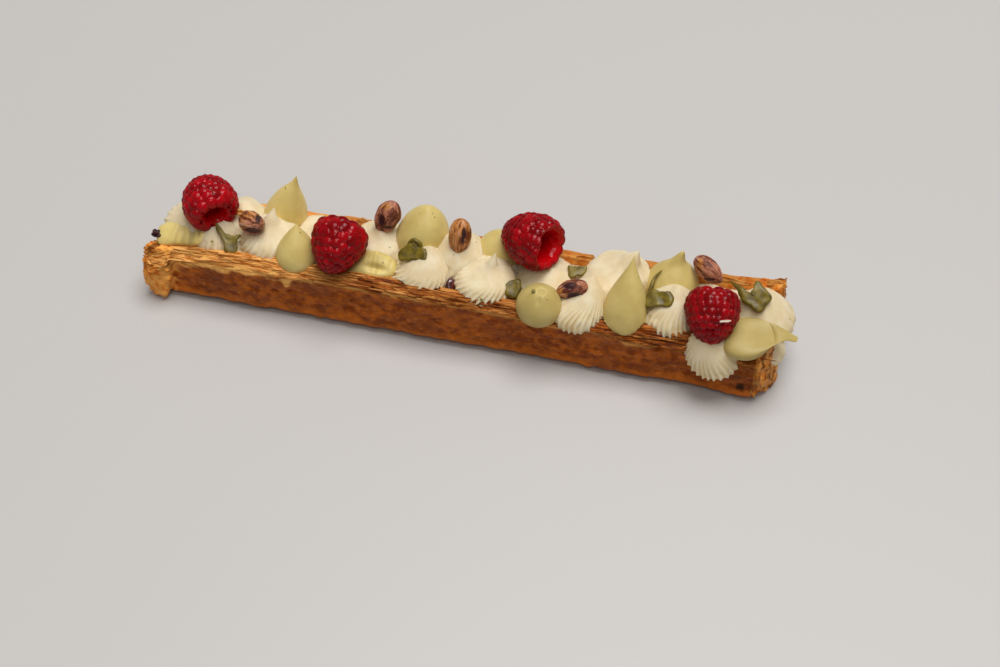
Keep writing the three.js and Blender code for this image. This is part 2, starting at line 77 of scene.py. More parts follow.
def buildMesh(name, points, faces, finish, fields=None, slot=None):
    # points in millimetres, faces as arrays of corner numbers, fields as one number for each point
    mesh = bpy.data.meshes.new(name)
    faces = [f for f in faces if len(f)]
    counts = np.concatenate([np.full(len(f), f.shape[1]) for f in faces])
    corners = np.concatenate([f.ravel() for f in faces])
    mesh.vertices.add(len(points))
    mesh.vertices.foreach_set("co", (points * mm).astype(np.float32).ravel())
    mesh.loops.add(len(corners))
    mesh.loops.foreach_set("vertex_index", corners.astype(np.int32))
    mesh.polygons.add(len(counts))
    mesh.polygons.foreach_set("loop_start", (np.cumsum(counts) - counts).astype(np.int32))
    mesh.polygons.foreach_set("use_smooth", np.ones(len(counts), bool))
    for key, values in (fields or {}).items():
        made = mesh.attributes.new(key, "FLOAT", "POINT")
        made.data.foreach_set("value", np.ravel(values).astype(np.float32))
    mesh.update(calc_edges=True)
    mesh.validate()
    piece = bpy.data.objects.new(name, mesh)
    bpy.context.collection.objects.link(piece)
    mesh.materials.append(finish)
    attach(piece, "root")
    return piece


def volumeOf(points, faces):
    # sum of the tetrahedra from the origin to each triangle of each face
    total = 0.0
    for f in faces:
        for k in range(1, f.shape[1] - 1):
            a, b, c = points[f[:, 0]], points[f[:, k]], points[f[:, k + 1]]
            total += np.einsum("ij,ij->i", a, np.cross(b, c)).sum()
    return total


def gridFaces(grid, closed=True):
    # squares between the rows and columns of a grid, with one point where a row shrinks to a pole
    rows, columns = grid.shape[:2]
    number = np.arange(rows * columns).reshape(rows, columns)
    after = np.roll(number, -1, 1)
    number, after = (number, after) if closed else (number[:, :-1], after[:, :-1])
    first, last = [np.ptp(grid[k], axis=0).max() < 1e-6 for k in (0, -1)]
    squares = np.stack([number[:-1], after[:-1], after[1:], number[1:]], -1)
    triangles = []
    if first:
        pole = np.full(number.shape[1], number[0, 0])
        triangles.append(np.stack([pole, after[1], number[1]], -1))
        squares = squares[1:]
    if last:
        pole = np.full(number.shape[1], number[-1, 0])
        triangles.append(np.stack([number[-2], after[-2], pole], -1))
        squares = squares[:-1]
    return [squares.reshape(-1, 4)] + triangles


def tidyPoints(points, faces, fields=None):
    # leaves out the points that no face uses and renumbers the rest
    used = np.unique(np.concatenate([f.ravel() for f in faces if len(f)]))
    renumber = np.zeros(len(points), int)
    renumber[used] = np.arange(len(used))
    fields = {key: np.ravel(values)[used] for key, values in (fields or {}).items()}
    return points[used], [renumber[f] for f in faces], fields


def closedPart(grid, fields=None):
    # points and outward faces of a grid that closes on itself
    points, faces, fields = tidyPoints(grid.reshape(-1, 3), gridFaces(grid), fields)
    if volumeOf(points - points.mean(0), faces) < 0:
        faces = [f[:, ::-1] for f in faces]
    return points, faces, fields


def surface(name, grid, finish, fields=None, slot=None):
    points, faces, fields = closedPart(grid, fields)
    return buildMesh(name, points, faces, finish, fields, slot)


def joined(parts):
    # several (points, faces, fields) as one
    points, faces, fields, start = [], [], {}, 0
    for p, f, extra in parts:
        points.append(p)
        faces += [g + start for g in f]
        for key, values in extra.items():
            fields.setdefault(key, []).append(np.ravel(values))
        start += len(p)
    fours = [f for f in faces if len(f) and f.shape[1] == 4]
    threes = [f for f in faces if len(f) and f.shape[1] == 3]
    both = [np.concatenate(group) for group in (fours, threes) if group]
    return np.concatenate(points), both, {key: np.concatenate(v) for key, v in fields.items()}


def taperedTube(spine, radius, around):
    # rings of the given radii round a line of points, closed to a point at both ends
    tangent = np.gradient(spine, axis=0)
    tangent /= np.maximum(np.linalg.norm(tangent, axis=1, keepdims=True), 1e-9)
    side = np.cross(tangent, [0.3, 0.5, 0.8])
    side /= np.linalg.norm(side, axis=1, keepdims=True)
    other = np.cross(tangent, side)
    angle = np.arange(around) / around * fullTurn
    ring = np.cos(angle)[:, None] * side[:, None] + np.sin(angle)[:, None] * other[:, None]
    grid = spine[:, None] + ring * radius[:, None, None]
    ends = [np.repeat(spine[k:k + 1 or None, None], around, 1) for k in (0, -1)]
    return closedPart(np.concatenate([ends[0], grid, ends[1]]))


def smoothLine(corners, share):
    # a Catmull-Rom line through the given points
    c = np.array(corners, float)
    c = np.concatenate([2 * c[:1] - c[1:2], c, 2 * c[-1:] - c[-2:-1]])
    at = np.clip(share, 0, 1 - 1e-9) * (len(c) - 3)
    k = at.astype(int)
    t = (at - k)[:, None]
    a, b, d, e = c[k], c[k + 1], c[k + 2], c[k + 3]
    return 0.5 * (2 * b + (d - a) * t + (2 * a - 5 * b + 4 * d - e) * t ** 2 + (3 * b - a - 3 * d + e) * t ** 3)


def normalsOf(points, faces):
    # each point's normal, from the squares that meet there
    total = np.zeros_like(points)
    for f in faces:
        across = np.cross(points[f[:, 2]] - points[f[:, 0]], points[f[:, -1]] - points[f[:, 1]])
        for k in range(f.shape[1]):
            np.add.at(total, f[:, k], across)
    return total / np.maximum(np.linalg.norm(total, axis=1, keepdims=True), 1e-9)


def turnedTo(direction):
    # matrix whose third column points that way
    z = np.array(direction, float) / np.linalg.norm(direction)
    x = np.cross([0, 1, 0] if abs(z[1]) < 0.9 else [1, 0, 0], z)
    x /= np.linalg.norm(x)
    return np.stack([x, np.cross(z, x), z], -1)


# materials

class Wire:
    # one output of a node, which can be added, multiplied and so on
    def __init__(self, finish, socket):
        self.finish, self.socket = finish, socket

    def sum(self, operation, first, second):
        return self.finish.node("ShaderNodeMath", {"operation": operation}, {0: first, 1: second})

    def __add__(self, other):
        return self.sum("ADD", self, other)

    def __mul__(self, other):
        return self.sum("MULTIPLY", self, other)

    def __sub__(self, other):
        return self.sum("SUBTRACT", self, other)

    def __rsub__(self, other):
        return self.sum("SUBTRACT", other, self)

    def __pow__(self, other):
        return self.sum("POWER", self, other)

    __radd__, __rmul__ = __add__, __mul__


class Finish:
    # a material with its own nodes in front of the shader
    def __init__(self, name, values=None):
        self.material = bpy.data.materials.new(name)
        self.material.use_nodes = True
        self.tree = self.material.node_tree
        self.shader = self.tree.nodes["Principled BSDF"]
        for key, value in (values or {}).items():
            self.shader.inputs[key].default_value = value
        self.place = self.node("ShaderNodeTexCoord", output="Object")

    def node(self, kind, settings=None, values=None, output=0):
        made = self.tree.nodes.new(kind)
        for key, value in (settings or {}).items():
            if key == "stops":
                ramp = made.color_ramp
                while len(ramp.elements) < len(value):
                    ramp.elements.new(0.5)
                for stop, (position, colour) in zip(ramp.elements, value):
                    stop.position, stop.color = position, (*colour, 1)
            else:
                setattr(made, key, value)
        for key, value in (values or {}).items():
            if isinstance(value, Wire):
                self.tree.links.new(value.socket, made.inputs[key])
            else:
                made.inputs[key].default_value = value
        return Wire(self, made.outputs[output])

    def field(self, name):
        return self.node("ShaderNodeAttribute", {"attribute_name": name}, output="Fac")

    def blotches(self, size, detail=2, stretch=(1, 1, 1), shift=(0, 0, 0)):
        # noise with features of about that many millimetres
        values = {"Vector": self.place, "Location": shift, "Scale": stretch}
        place = self.node("ShaderNodeMapping", None, values)
        values = {"Vector": place, "Scale": 1 / (size * mm), "Detail": detail}
        return self.node("ShaderNodeTexNoise", None, values, "Fac")

    def between(self, value, low, high):
        # 0 below low, 1 above high
        values = {"Value": value, "From Min": low, "From Max": high}
        return self.node("ShaderNodeMapRange", {"interpolation_type": "SMOOTHSTEP"}, values)

    def mix(self, factor, first, second, blend="MIX"):
        settings = {"data_type": "RGBA", "blend_type": blend}
        first, second = [c if isinstance(c, Wire) else (*c, 1) for c in (first, second)]
        return self.node("ShaderNodeMix", settings, {0: factor, 6: first, 7: second}, 2)

    def feed(self, links):
        for key, wire in links.items():
            self.tree.links.new(wire.socket, self.shader.inputs[key])
        return self

    def relief(self, height, depth, strength=1.0):
        # height from 0 to 1 stands for that many millimetres
        values = {"Height": height, "Distance": depth * mm, "Strength": strength}
        return self.feed({"Normal": self.node("ShaderNodeBump", None, values)})


def pastryFinish():
    # dark caramelised outside, honey-coloured layers where the dough is cut, orange inside and below
    f = Finish("baked_pastry", {"Specular IOR Level": 0.2, "Specular Tint": (1, 0.6, 0.35, 1)})
    fine = f.blotches(0.40, 2, (0.05, 0.8, 1))
    streak = f.blotches(0.8, 2, (0.045, 0.7, 1), (0.07, 0, 0))
    mottle = f.blotches(2.8, 4, (0.75, 1, 1))
    patch = f.blotches(9, 2, (0.6, 1, 1.1), (0.02, 0, 0.01))
    lumps = f.blotches(3.0, 3, shift=(0.05, 0, 0))
    fleck = f.blotches(1.3, 2, (0.6, 1, 1.1), (0.11, 0, 0.03))
    grain = f.blotches(0.7, 3)
    height = f.node("ShaderNodeSeparateXYZ", None, {"Vector": f.place}, "Z")
    crust = f.mix(f.between(mottle, 0.32, 0.68), (0.200, 0.034, 0.0030), (0.50, 0.122, 0.0115))
    crust = f.mix(f.between(patch, 0.42, 0.66) * 0.6, crust, (0.240, 0.058, 0.0145))
    # light flecks: partly tan flecks of the crust, partly painted glints of light on its small bumps
    crust = f.mix(f.between(fleck, 0.58, 0.74) * 0.4, crust, (0.66, 0.225, 0.042))
    crust = f.mix(f.between(fleck, 0.40, 0.26) * 0.35, crust, (0.080, 0.015, 0.0028))
    crust = f.mix(f.between(height + 0.012 * (patch - 0.5), 0.0075, 0.0035) * 0.6, crust, (0.58, 0.150, 0.014))
    # the layers' own tones, with a painted highlight towards each layer's raised edge
    tone = f.field("layerTone") + 0.9 * (streak - 0.5) + 0.5 * (fine - 0.5)
    pale = f.mix(f.between(tone, -0.05, 0.75), (0.40, 0.080, 0.005), (1.0, 0.52, 0.140))
    toasted = f.mix(f.between(tone, 0.10, 1.10), (0.100, 0.0135, 0.0006), (0.42, 0.100, 0.0070))
    layer = f.mix(f.field("toasted"), pale, toasted)
    crumb = f.mix(f.between(lumps, 0.30, 0.56), (0.78, 0.185, 0.011), (1.0, 0.455, 0.098))
    crumb = f.mix(f.between(grain, 0.56, 0.72) * 0.4, crumb, (0.38, 0.085, 0.006))
    colour = f.mix(f.field("cut"), crust, layer)
    colour = f.mix(f.field("pale"), colour, crumb)
    colour = f.mix(f.field("scorched"), colour, (0.025, 0.006, 0.002))
    # painted shade: darker brown in the gaps between layers, in the crevices and in the lobe's hollows, with some dark
    # pores
    colour = f.mix(f.field("groove") * 0.8, colour, (0.100, 0.020, 0.0020))
    f.feed({"Base Color": colour, "Roughness": 0.32 + 0.25 * f.between(grain, 0.3, 0.7)})
    f.relief(0.55 * mottle + 0.45 * (fleck + f.field("cut") * (fine - fleck)), 0.8, 0.85)
    return f.material


def flakeFinish():
    f = Finish("pastry_flake", {"Specular IOR Level": 0.2, "Specular Tint": (1, 0.8, 0.6, 1)})
    streak = f.blotches(0.8, 3, (0.12, 0.8, 1))
    pale = f.mix(f.between(streak, 0.36, 0.62), (0.50, 0.140, 0.013), (0.96, 0.50, 0.140))
    dark = f.mix(f.between(streak, 0.36, 0.66), (0.100, 0.015, 0.0008), (0.42, 0.105, 0.008))
    f.feed({"Base Color": f.mix(f.field("toast"), pale, dark), "Roughness": 0.4 + 0.25 * streak})
    f.relief(streak, 0.3, 0.6)
    return f.material


def creamFinish():
    # satin ivory with a little of the light passing through it
    f = Finish("vanilla_cream", {"Subsurface Weight": 0.45, "Subsurface Scale": 0.0028, "Specular IOR Level": 0.35})
    f.shader.inputs["Subsurface Radius"].default_value = (1.0, 0.78, 0.42)
    soft = f.blotches(6, 2)
    grain = f.blotches(0.5, 3)
    colour = f.mix(f.between(soft, 0.35, 0.7), (0.76, 0.615, 0.380), (0.84, 0.72, 0.49))
    # painted shade: darker, yellower colour in the valleys between the piped ridges, standing for shade and light
    # coming through the cream
    colour = f.mix(f.field("groove") * 0.7, colour, (0.74, 0.55, 0.23))
    f.feed({"Base Color": colour, "Roughness": 0.45 + 0.2 * grain})
    f.relief(grain, 0.1, 0.3)
    return f.material


def pistachioCreamFinish():
    f = Finish("pistachio_cream", {"Subsurface Weight": 0.3, "Subsurface Scale": 0.002, "Specular IOR Level": 0.4})
    f.shader.inputs["Subsurface Radius"].default_value = (0.9, 0.8, 0.35)
    soft = f.blotches(7, 2)
    speck = f.blotches(0.75, 1, shift=(0.3, 0, 0))
    grain = f.blotches(0.6, 2)
    # lit and shaded copies of the cream's colour: the light field paints each drop lighter or darker for how much light
    # falls on it (painted light and shade), and lighter on its raised streaks (painted highlight)
    deep = f.mix(f.between(soft, 0.3, 0.7), (0.40, 0.295, 0.090), (0.46, 0.350, 0.115))
    light = f.mix(f.between(soft, 0.3, 0.7), (0.86, 0.66, 0.215), (0.96, 0.765, 0.280))
    colour = f.mix(f.field("light"), deep, light)
    colour = f.mix(f.between(speck, 0.76, 0.80) * 0.6, colour, (0.17, 0.15, 0.03))
    f.feed({"Base Color": colour, "Roughness": 0.36 + 0.2 * grain})
    f.relief(grain, 0.1, 0.3)
    return f.material


def raspberryFinish():
    # crimson drupelets, each a little different, with a darker wine red painted into the creases as shade
    f = Finish("raspberry_skin", {"Subsurface Weight": 0.12, "Subsurface Scale": 0.0012, "Specular IOR Level": 0,
                                  "Coat IOR": 1.5, "Coat Roughness": 0.14})
    f.shader.inputs["Subsurface Radius"].default_value = (1.0, 0.10, 0.08)
    fuzz = f.blotches(0.45, 2)
    tone = f.mix(f.field("tone"), (0.195, 0.0004, 0.0018), (0.44, 0.0018, 0.0064))
    colour = f.mix(f.field("crease"), tone, (0.150, 0.0004, 0.0014))
    colour = f.mix(f.field("inside"), colour, (0.52, 0.0014, 0.0040))
    # only the drupelets' tops are glossy
    f.feed({"Base Color": colour, "Coat Weight": (1 - f.field("crease")) * (0.18 + 0.45 * fuzz)})
    f.relief(fuzz, 0.05, 0.3)
    return f.material


def hairFinish():
    f = Finish("raspberry_hair", {"Roughness": 0.5})
    tint = f.blotches(3, 1)
    f.feed({"Base Color": f.mix(tint, (0.10, 0.035, 0.02), (0.30, 0.15, 0.07))})
    return f.material


def kernelFinish():
    # papery red-brown skin with short wrinkles, rubbed to tan, near-black purple where it has sunk in
    f = Finish("pistachio_skin", {"Specular IOR Level": 0.4, "Specular Tint": (1, 0.8, 0.75, 1)})
    vein = f.blotches(0.8, 4)
    patch = f.blotches(1.8, 3)
    wrinkle = f.field("wrinkle") + 0.9 * (vein - 0.5)
    skin = f.mix(f.between(wrinkle, 0.18, 0.80), (0.115, 0.024, 0.011), (0.50, 0.188, 0.100))
    worn = f.mix(f.between(wrinkle, 0.12, 0.78), (0.16, 0.038, 0.006), (0.58, 0.230, 0.062))
    skin = f.mix(f.between(f.field("warm") + 0.7 * (patch - 0.5), 0.30, 0.62), skin, worn)
    # painted highlight: pale pink on the highest wrinkle crests and along the keel
    skin = f.mix(f.between(wrinkle, 0.80, 0.98) * 0.5, skin, (0.68, 0.43, 0.32))
    skin = f.mix(f.field("sunk"), skin, (0.046, 0.014, 0.015))
    f.feed({"Base Color": skin, "Roughness": 0.3 + 0.25 * vein})
    f.relief(0.7 * vein + 0.3 * patch, 0.35, 0.8)
    return f.material


def pasteFinish():
    f = Finish("pistachio_paste", {"Coat Weight": 0.15, "Coat Roughness": 0.22, "Specular IOR Level": 0.3})
    soft = f.blotches(3, 2)
    grain = f.blotches(0.7, 3)
    colour = f.mix(f.between(soft, 0.3, 0.7), (0.100, 0.066, 0.0028), (0.218, 0.156, 0.0112))
    f.feed({"Base Color": colour, "Roughness": 0.32 + 0.15 * grain})
    f.relief(grain, 0.08, 0.3)
    return f.material


def jamFinish():
    f = Finish("berry_jam", {"Coat Weight": 0.8, "Coat Roughness": 0.08, "Specular IOR Level": 0.6})
    soft = f.blotches(4, 2)
    seed = f.blotches(1.3, 1)
    colour = f.mix(f.between(soft, 0.3, 0.7), (0.045, 0.004, 0.008), (0.13, 0.010, 0.014))
    colour = f.mix(f.between(seed, 0.66, 0.72) * 0.6, colour, (0.30, 0.12, 0.05))
    f.feed({"Base Color": colour, "Roughness": 0.12 + 0.2 * soft})
    f.relief(seed, 0.5, 0.5)
    return f.material


def crumbFinish(name, dark, light):
    f = Finish(name, {"Specular IOR Level": 0.4})
    grain = f.blotches(0.6, 2)
    f.feed({"Base Color": f.mix(f.between(grain, 0.35, 0.65), dark, light), "Roughness": 0.4 + 0.3 * grain})
    return f.material


finishes = {
    "pastry": pastryFinish(),
    "flake": flakeFinish(),
    "cream": creamFinish(),
    "pistachioCream": pistachioCreamFinish(),
    "raspberry": raspberryFinish(),
    "hair": hairFinish(),
    "kernel": kernelFinish(),
    "paste": pasteFinish(),
    "jam": jamFinish(),
    "nutCrumb": crumbFinish("nut_crumb", (0.14, 0.12, 0.02), (0.30, 0.27, 0.06)),
    "paleCrumb": crumbFinish("pale_crumb", (0.62, 0.50, 0.36), (0.85, 0.76, 0.62)),
    "darkBerry": crumbFinish("dark_berry", (0.020, 0.004, 0.006), (0.07, 0.012, 0.014)),
}
print("materials made:", len(finishes))


# the camera's place: degrees it looks down, and turn and roll of its view

studio = {
    "cameraAt": (109.7, -443.4, 549.1),
    "down": 51.0,
    "turn": 12.12,
    "roll": 0.8,
    "lens": 63,
}
cameraTurn = Euler((np.radians(90 - studio["down"]), 0, np.radians(studio["turn"])), "XYZ").to_matrix()
cameraTurn = cameraTurn @ Matrix.Rotation(np.radians(studio["roll"]), 3, "Z")
sight = np.array(cameraTurn).T  # rightwards, upwards and backwards as the camera sees them


# the pastry trough

pastry = {
    "length": 250,
    "half": 17.5,
    "frontHeight": 25,
    "alongSteps": 420,
    "frontSteps": (76, 40),
    "backSteps": (60, 20),
    # height of the outer edge of the front wall's cut top, by its place along the pastry
    "edgeAt": (-130, -118, -107, -97, -86, -75, -65, -55, -40, -22, -5, 15, 27, 40, 58, 68, 93, 115, 130),
    "edgeHeight": (17.5, 18.5, 19.8, 21.2, 22.2, 22.4, 22.6, 22.8, 22.8, 23.6, 23.8, 22.6, 21.3, 22.0, 23.2, 20.6,
                   21.0, 20.4, 19.5),
    "layer": 0.9,
}


def bakedShape(p):
    # the wavy, leaning and puffed form of the baked trough, as a shift of each point by its place
    x, y, z = np.moveaxis(p, -1, 0).copy()
    up = ramp(z, 2, pastry["frontHeight"])
    high = ramp(z, 14, 22)
    front, outer = ramp(-y, 5, 9), ramp(-y, 11, 17)
    back = ramp(y, 5, 12)
    puff = ramp(-x - 2.6 * (1 - ramp(z, 0, 14)), 116.4, 119) * ramp(-y, 10, 15)
    roundOff = 1 - np.sqrt(1 - np.clip((-y - 4) / 15, 0, 0.97) ** 2)
    along, level = x.copy(), z.copy()
    z = z * (1 + back * (0.00085 * x + 0.015 * np.sin(x / 9) * up + 0.11 * ramp(x, 118, 125) * high))
    z = z - 3 * front * ramp(-x, 82, 118) * high * (1 - outer)
    y = y + back * up * (0.8 + 0.012 * along + 0.35 * np.sin(along / 13 + 1))
    calm = 1 - ramp(along, 95, 108)
    y = y + outer * (0.4 * np.sin(along / 11) * ramp(z, 1, 8) * calm - 0.7 * ramp(along, 96, 112))
    y = y - puff * (3.0 - 0.9 * ramp(z, 8, 24)) * (1 - 0.5 * ramp(-along, 122, 125))
    x = x - ramp(-along, 120, 125) * (front * (1.4 + 2.6 * puff) - 4 * back * up)
    x = x + 3.4 * ramp(-along, 119, 125) * front * (1 - ramp(level, 0, 8))
    x = x + ramp(along, 108, 125) * (2.4 - 2.2 * back - 9 * roundOff - 3.5 * front * ramp(z, 8, 24))
    return np.stack([x, y, z], -1)


def blockFaces(nx, nt, nw):
    # the outside of a block of nx by nt by nw cells: each point's (x, t, w) from 0 to 1, and the squares
    t = np.concatenate([np.arange(nt), np.full(nw, nt), np.arange(nt, 0, -1), np.zeros(nw)]).astype(int)
    w = np.concatenate([np.zeros(nt), np.arange(nw), np.full(nt, nw), np.arange(nw, 0, -1)]).astype(int)
    ring = len(t)
    number = np.arange((nx + 1) * ring).reshape(nx + 1, ring)
    after = np.roll(number, -1, 1)
    squares = [np.stack([number[:-1], after[:-1], after[1:], number[1:]], -1).reshape(-1, 4)]
    place = [np.stack([np.repeat(np.arange(nx + 1), ring) / nx, np.tile(t, nx + 1) / nt,
                       np.tile(w, nx + 1) / nw], -1)]
    start = (nx + 1) * ring
    for end in (0, nx):
        table = np.zeros((nt + 1, nw + 1), int)
        table[t, w] = number[end]
        inner = np.arange((nt - 1) * (nw - 1)).reshape(nt - 1, nw - 1)
        table[1:-1, 1:-1] = inner + start
        start += inner.size
        a, b = np.meshgrid(np.arange(1, nt), np.arange(1, nw), indexing="ij")
        place.append(np.stack([np.full(a.size, end / nx), a.ravel() / nt, b.ravel() / nw], -1))
        cap = np.stack([table[:-1, :-1], table[1:, :-1], table[1:, 1:], table[:-1, 1:]], -1)
        squares.append((cap if end else cap[..., ::-1]).reshape(-1, 4))
    return np.concatenate(place), [np.concatenate(squares)]


def wallPlace(t, w, side):
    # half of the trough's section: t runs down the wall and along the floor to the middle, w goes from
    # the outside to the inside
    if side == "front":
        outerT = [0, 0.03, 0.68, 0.74, 0.78, 0.86, 0.90, 0.92, 1]
        outerY = [-17.3, -17.5, -18.7, -19.1, -18.6, -15.5, -12.2, -11.4, 0]
        outerZ = [21.6, 20.6, 5.6, 3.5, 2.7, 2.1, 1.7, 0, 0]
        innerT, innerY = [0, 0.03, 0.74, 0.80, 0.88, 1], [-10.6, -10.3, -10.3, -9.9, -8.6, 0]
        innerZ = [24.9, 24.2, 5.2, 4.5, 4.2, 4.2]
    else:
        outerT, outerY = [0, 0.03, 0.80, 0.84, 0.88, 1], [16.7, 17.5, 17.5, 17.0, 15.7, 0]
        outerZ = [26.4, 25.4, 1.8, 0.5, 0, 0]
        innerT, innerY = [0, 0.03, 0.74, 0.80, 0.85, 1], [13.7, 13.1, 13.1, 12.7, 12.1, 0]
        innerZ = [26.4, 25.6, 5.2, 4.5, 4.2, 4.2]
    y = np.interp(t, outerT, outerY) * (1 - w) + np.interp(t, innerT, innerY) * w
    z = np.interp(t, outerT, outerZ) * (1 - w) + np.interp(t, innerT, innerZ) * w
    return y, z


def troughHalf(name, side, downSteps, acrossSteps):
    # the half section carried along X, bent by bakedShape, then pushed out along its normals by layers,
    # blisters and crags
    place, squares = blockFaces(pastry["alongSteps"], downSteps, acrossSteps)
    share, t, w = place.T
    reach = 2 * share - 1
    x = pastry["length"] / 2 * (1.25 * reach - 0.25 * reach ** 3)
    y, z = wallPlace(t, w, side)
    nearTop = 1 - ramp(t, 0, 0.16)
    edge = np.interp(x, pastry["edgeAt"], pastry["edgeHeight"])
    if side == "front":
        # the cut top climbs from its outer edge to the level inner part
        z = z + nearTop * (np.minimum(24.9, 21.6 + 6.2 * w) - (21.6 + 3.3 * w)) * ramp(w, 0, 0.1)
        z = z + nearTop * (edge - 21.6) * (1 - ramp(w, 0.05, 0.6))
        z = z + nearTop * 0.4 * alongX(x, 5.5, 71) * (1 - ramp(w, 0.5, 1))
        under = ramp(t, 0.66, 0.74) * (1 - ramp(t, 0.80, 0.88)) * (1 - w)
        z = z + under * 0.5 * (alongX(x, 11, 75) + 0.6 * alongX(x, 4, 76))
    else:
        z = z + nearTop * (0.5 * alongX(x, 7, 72) + 0.3 * alongX(x, 2.6, 73))
        z = z - nearTop * 2.6 * ramp(x, 48, 49.5) * (1 - ramp(x, 51, 54))
    points = bakedShape(np.stack([x, y, z], -1))
    normal = normalsOf(points, squares)
    x, y, z = points.T

    topFace = ramp(0.05 - t, 0, 0.03)
    outside = (1 - ramp(w, 0, 0.04)) * (1 - topFace)
    inside = ramp(w, 0.96, 1) * (1 - topFace)
    below = ramp(-normal[:, 2], 0.75, 0.95) * (1 - ramp(z, 0.6, 2.5))
    lobe = ramp(-x - 2.6 * (1 - ramp(z, 0, 14)), 117, 118.5) * ramp(-y, 9, 13)
    rightEnd = ramp(x, 118.2, 119.6) * ramp(-y, 2, 8)
    ends = np.maximum(ramp(-share, -0.003, 0), ramp(share, 0.997, 1))
    crease = np.exp(-((x + 116.8 + 2.6 * (1 - ramp(z, 0, 14))) / 0.9) ** 2) * outside * ramp(-y, 12, 15)

    # stacked layers: a saw tooth across the cut face, bent by noise so that each layer thins and ends;
    # in the puffed left end they run slantwise
    bend = 0.9 * crags(points, (40, 7, 6), 5, 2) + 0.35 * noise(points, (24, 3, 3), 8)
    slanted = lobe * ramp(z, 13, 18)
    level = (z - np.minimum(y + 11, 0) * -1) / pastry["layer"] + bend
    level = level * (1 - slanted) + slanted * ((y + 0.93 * z - 0.7 * x) / 2.6 + 0.5 * bend)
    upright = (x - 0.35 * y + 0.12 * z) / 1.05 + 0.8 * crags(points, (3, 3, 9), 39, 2)
    level = level * (1 - rightEnd) + rightEnd * upright
    tooth = level - np.floor(level)
    tones = np.random.default_rng(3).uniform(0, 1, 256)
    along = noise(np.stack([x, np.floor(level) * 9, 0 * x], -1), (26, 1, 1), 6)
    # each layer has its own random tone, plus a painted highlight: the tooth term makes each layer lighter towards its
    # raised upper edge
    layerTone = 0.25 + 0.55 * tones[np.floor(level).astype(int) % 256] + 0.35 * along + 0.35 * (tooth - 0.4)
    cutFace = np.clip(topFace * (side == "front") + lobe * 0.8 + rightEnd * 0.8 + ends, 0, 1)
    strength = 0.65 + 0.4 * noise(points, (24, 4, 3), 9)
    relief = cutFace * 0.75 * strength * (tooth ** 1.5 - 0.45) * (1 - 0.5 * lobe * (1 - slanted) + 1.2 * slanted)
    relief += outside * (0.35 * crags(points, (20, 9, 9), 11, 2) + 0.6 * crags(points, (4.6, 3.2, 3.0), 14, 3))
    relief += outside * 0.15 * np.abs(noise(points, (13, 2, 1.1), 17))
    relief += inside * 0.3 * crags(points, (9, 4, 4), 19, 2)
    swell = crags(points, (6.5, 6, 5.5), 21, 3)
    relief += lobe * (1.2 * swell * (1 - 0.5 * slanted) + 0.32 * crags(points, (1.5, 1.5, 1.5), 27, 2) + 0.3)
    relief += rightEnd * (1.2 * crags(points, (4, 4, 6), 24, 3) + 0.6 * crags(points, (1.1, 1.1, 2.6), 29, 2))
    backEnd = ramp(x, 112, 119) * ramp(y, 7, 11) * ramp(z, 4, 10)
    relief += backEnd * 0.9 * crags(points, (3, 3, 3), 46, 3)
    relief -= 0.5 * crease
    relief *= 1 - below * 0.9
    points = points + normal * relief[:, None]
    points[:, 2] = np.maximum(points[:, 2], 0.0)

    # painted shade: the gaps at the foot of each layer, the crevices at the right end and the back end, the low hollows
    # of the left lobe and a gap between its top flaps are painted darker; the lobe's pits are dark pores in the crumb
    groove = cutFace * ramp(0.2 - tooth, 0, 0.14) * (0.3 + 0.7 * ramp(strength, 0.3, 0.8))
    groove = groove * (1 - 0.6 * lobe * (1 - slanted)) + rightEnd * ramp(0.3 - tooth, 0, 0.2) * 0.6
    groove = groove + (rightEnd + 0.7 * backEnd) * 0.8 * ramp(-crags(points, (2.4, 2.4, 4), 48, 2), 0.25, 0.7)
    pits = ramp(crags(points, (1.5, 1.5, 1.5), 37, 2), 0.45, 0.9)
    gap = ((0.61 * (x + 125.0) + 0.79 * (y + 13.6)) / 3.4) ** 2 + ((0.79 * (x + 125.0) - 0.61 * (y + 13.6)) / 1.4) ** 2
    gap = 2.0 * np.exp(-gap ** 2) * ramp(z, 16, 19)
    groove = np.clip(groove + gap + lobe * (0.7 * ramp(-swell, 0.35, 0.9) + 0.5 * pits), 0, 1)
    ragged = 1.4 * crags(points, (6, 4, 2), 35, 3) + 1.0 * crags(points, (1.6, 2, 2), 47, 2)
    ragged += 4.2 * np.exp(-((x + 68.9) / 2.0) ** 2) * ramp(z, 12, 17)
    lip = outside * ramp(z - edge + ragged, -2.4, 0.1) * (side == "front")
    cut = np.clip(topFace + ends + rightEnd * 0.85 + lip, 0, 1)
    trench = ramp(w, 0.02, 0.12) * (1 - ramp(w, 0.66, 0.86)) * topFace
    toasted = ramp(x, -84, -28) * (0.55 + 0.5 * trench) + 0.3 * ramp(x, 10, 60)
    toasted = toasted + 0.35 * noise(points, (22, 3, 3), 31) + 0.25 * noise(points, (7, 2, 2), 32)
    ridge = ramp(x, 0, 40) * (1 - ramp(w, 0.03, 0.12)) * topFace + lip * ramp(x, 0, 40)
    toasted = np.clip((toasted - 0.20 * ridge) * (1 - 0.35 * rightEnd), 0, 1)
    base = 0.7 * outside * (1 - ramp(z, 0.6, 3.6)) * (0.5 + 0.8 * noise(points, (18, 4, 4), 33))
    torn = outside * ramp(-x - 2.6 * (1 - ramp(z, 0, 14)), 113.0, 116.4)
    torn = torn * ramp(crags(points, (2.5, 2.5, 2.5), 43, 2), -0.3, 0.5) * 0.85
    pale = np.clip(np.maximum(lobe, torn) + inside + np.maximum(base, 0) + 0.5 * rightEnd + 0.5 * backEnd, 0, 1)
    if side == "back":
        pale = np.maximum(pale, 0.35 * topFace)
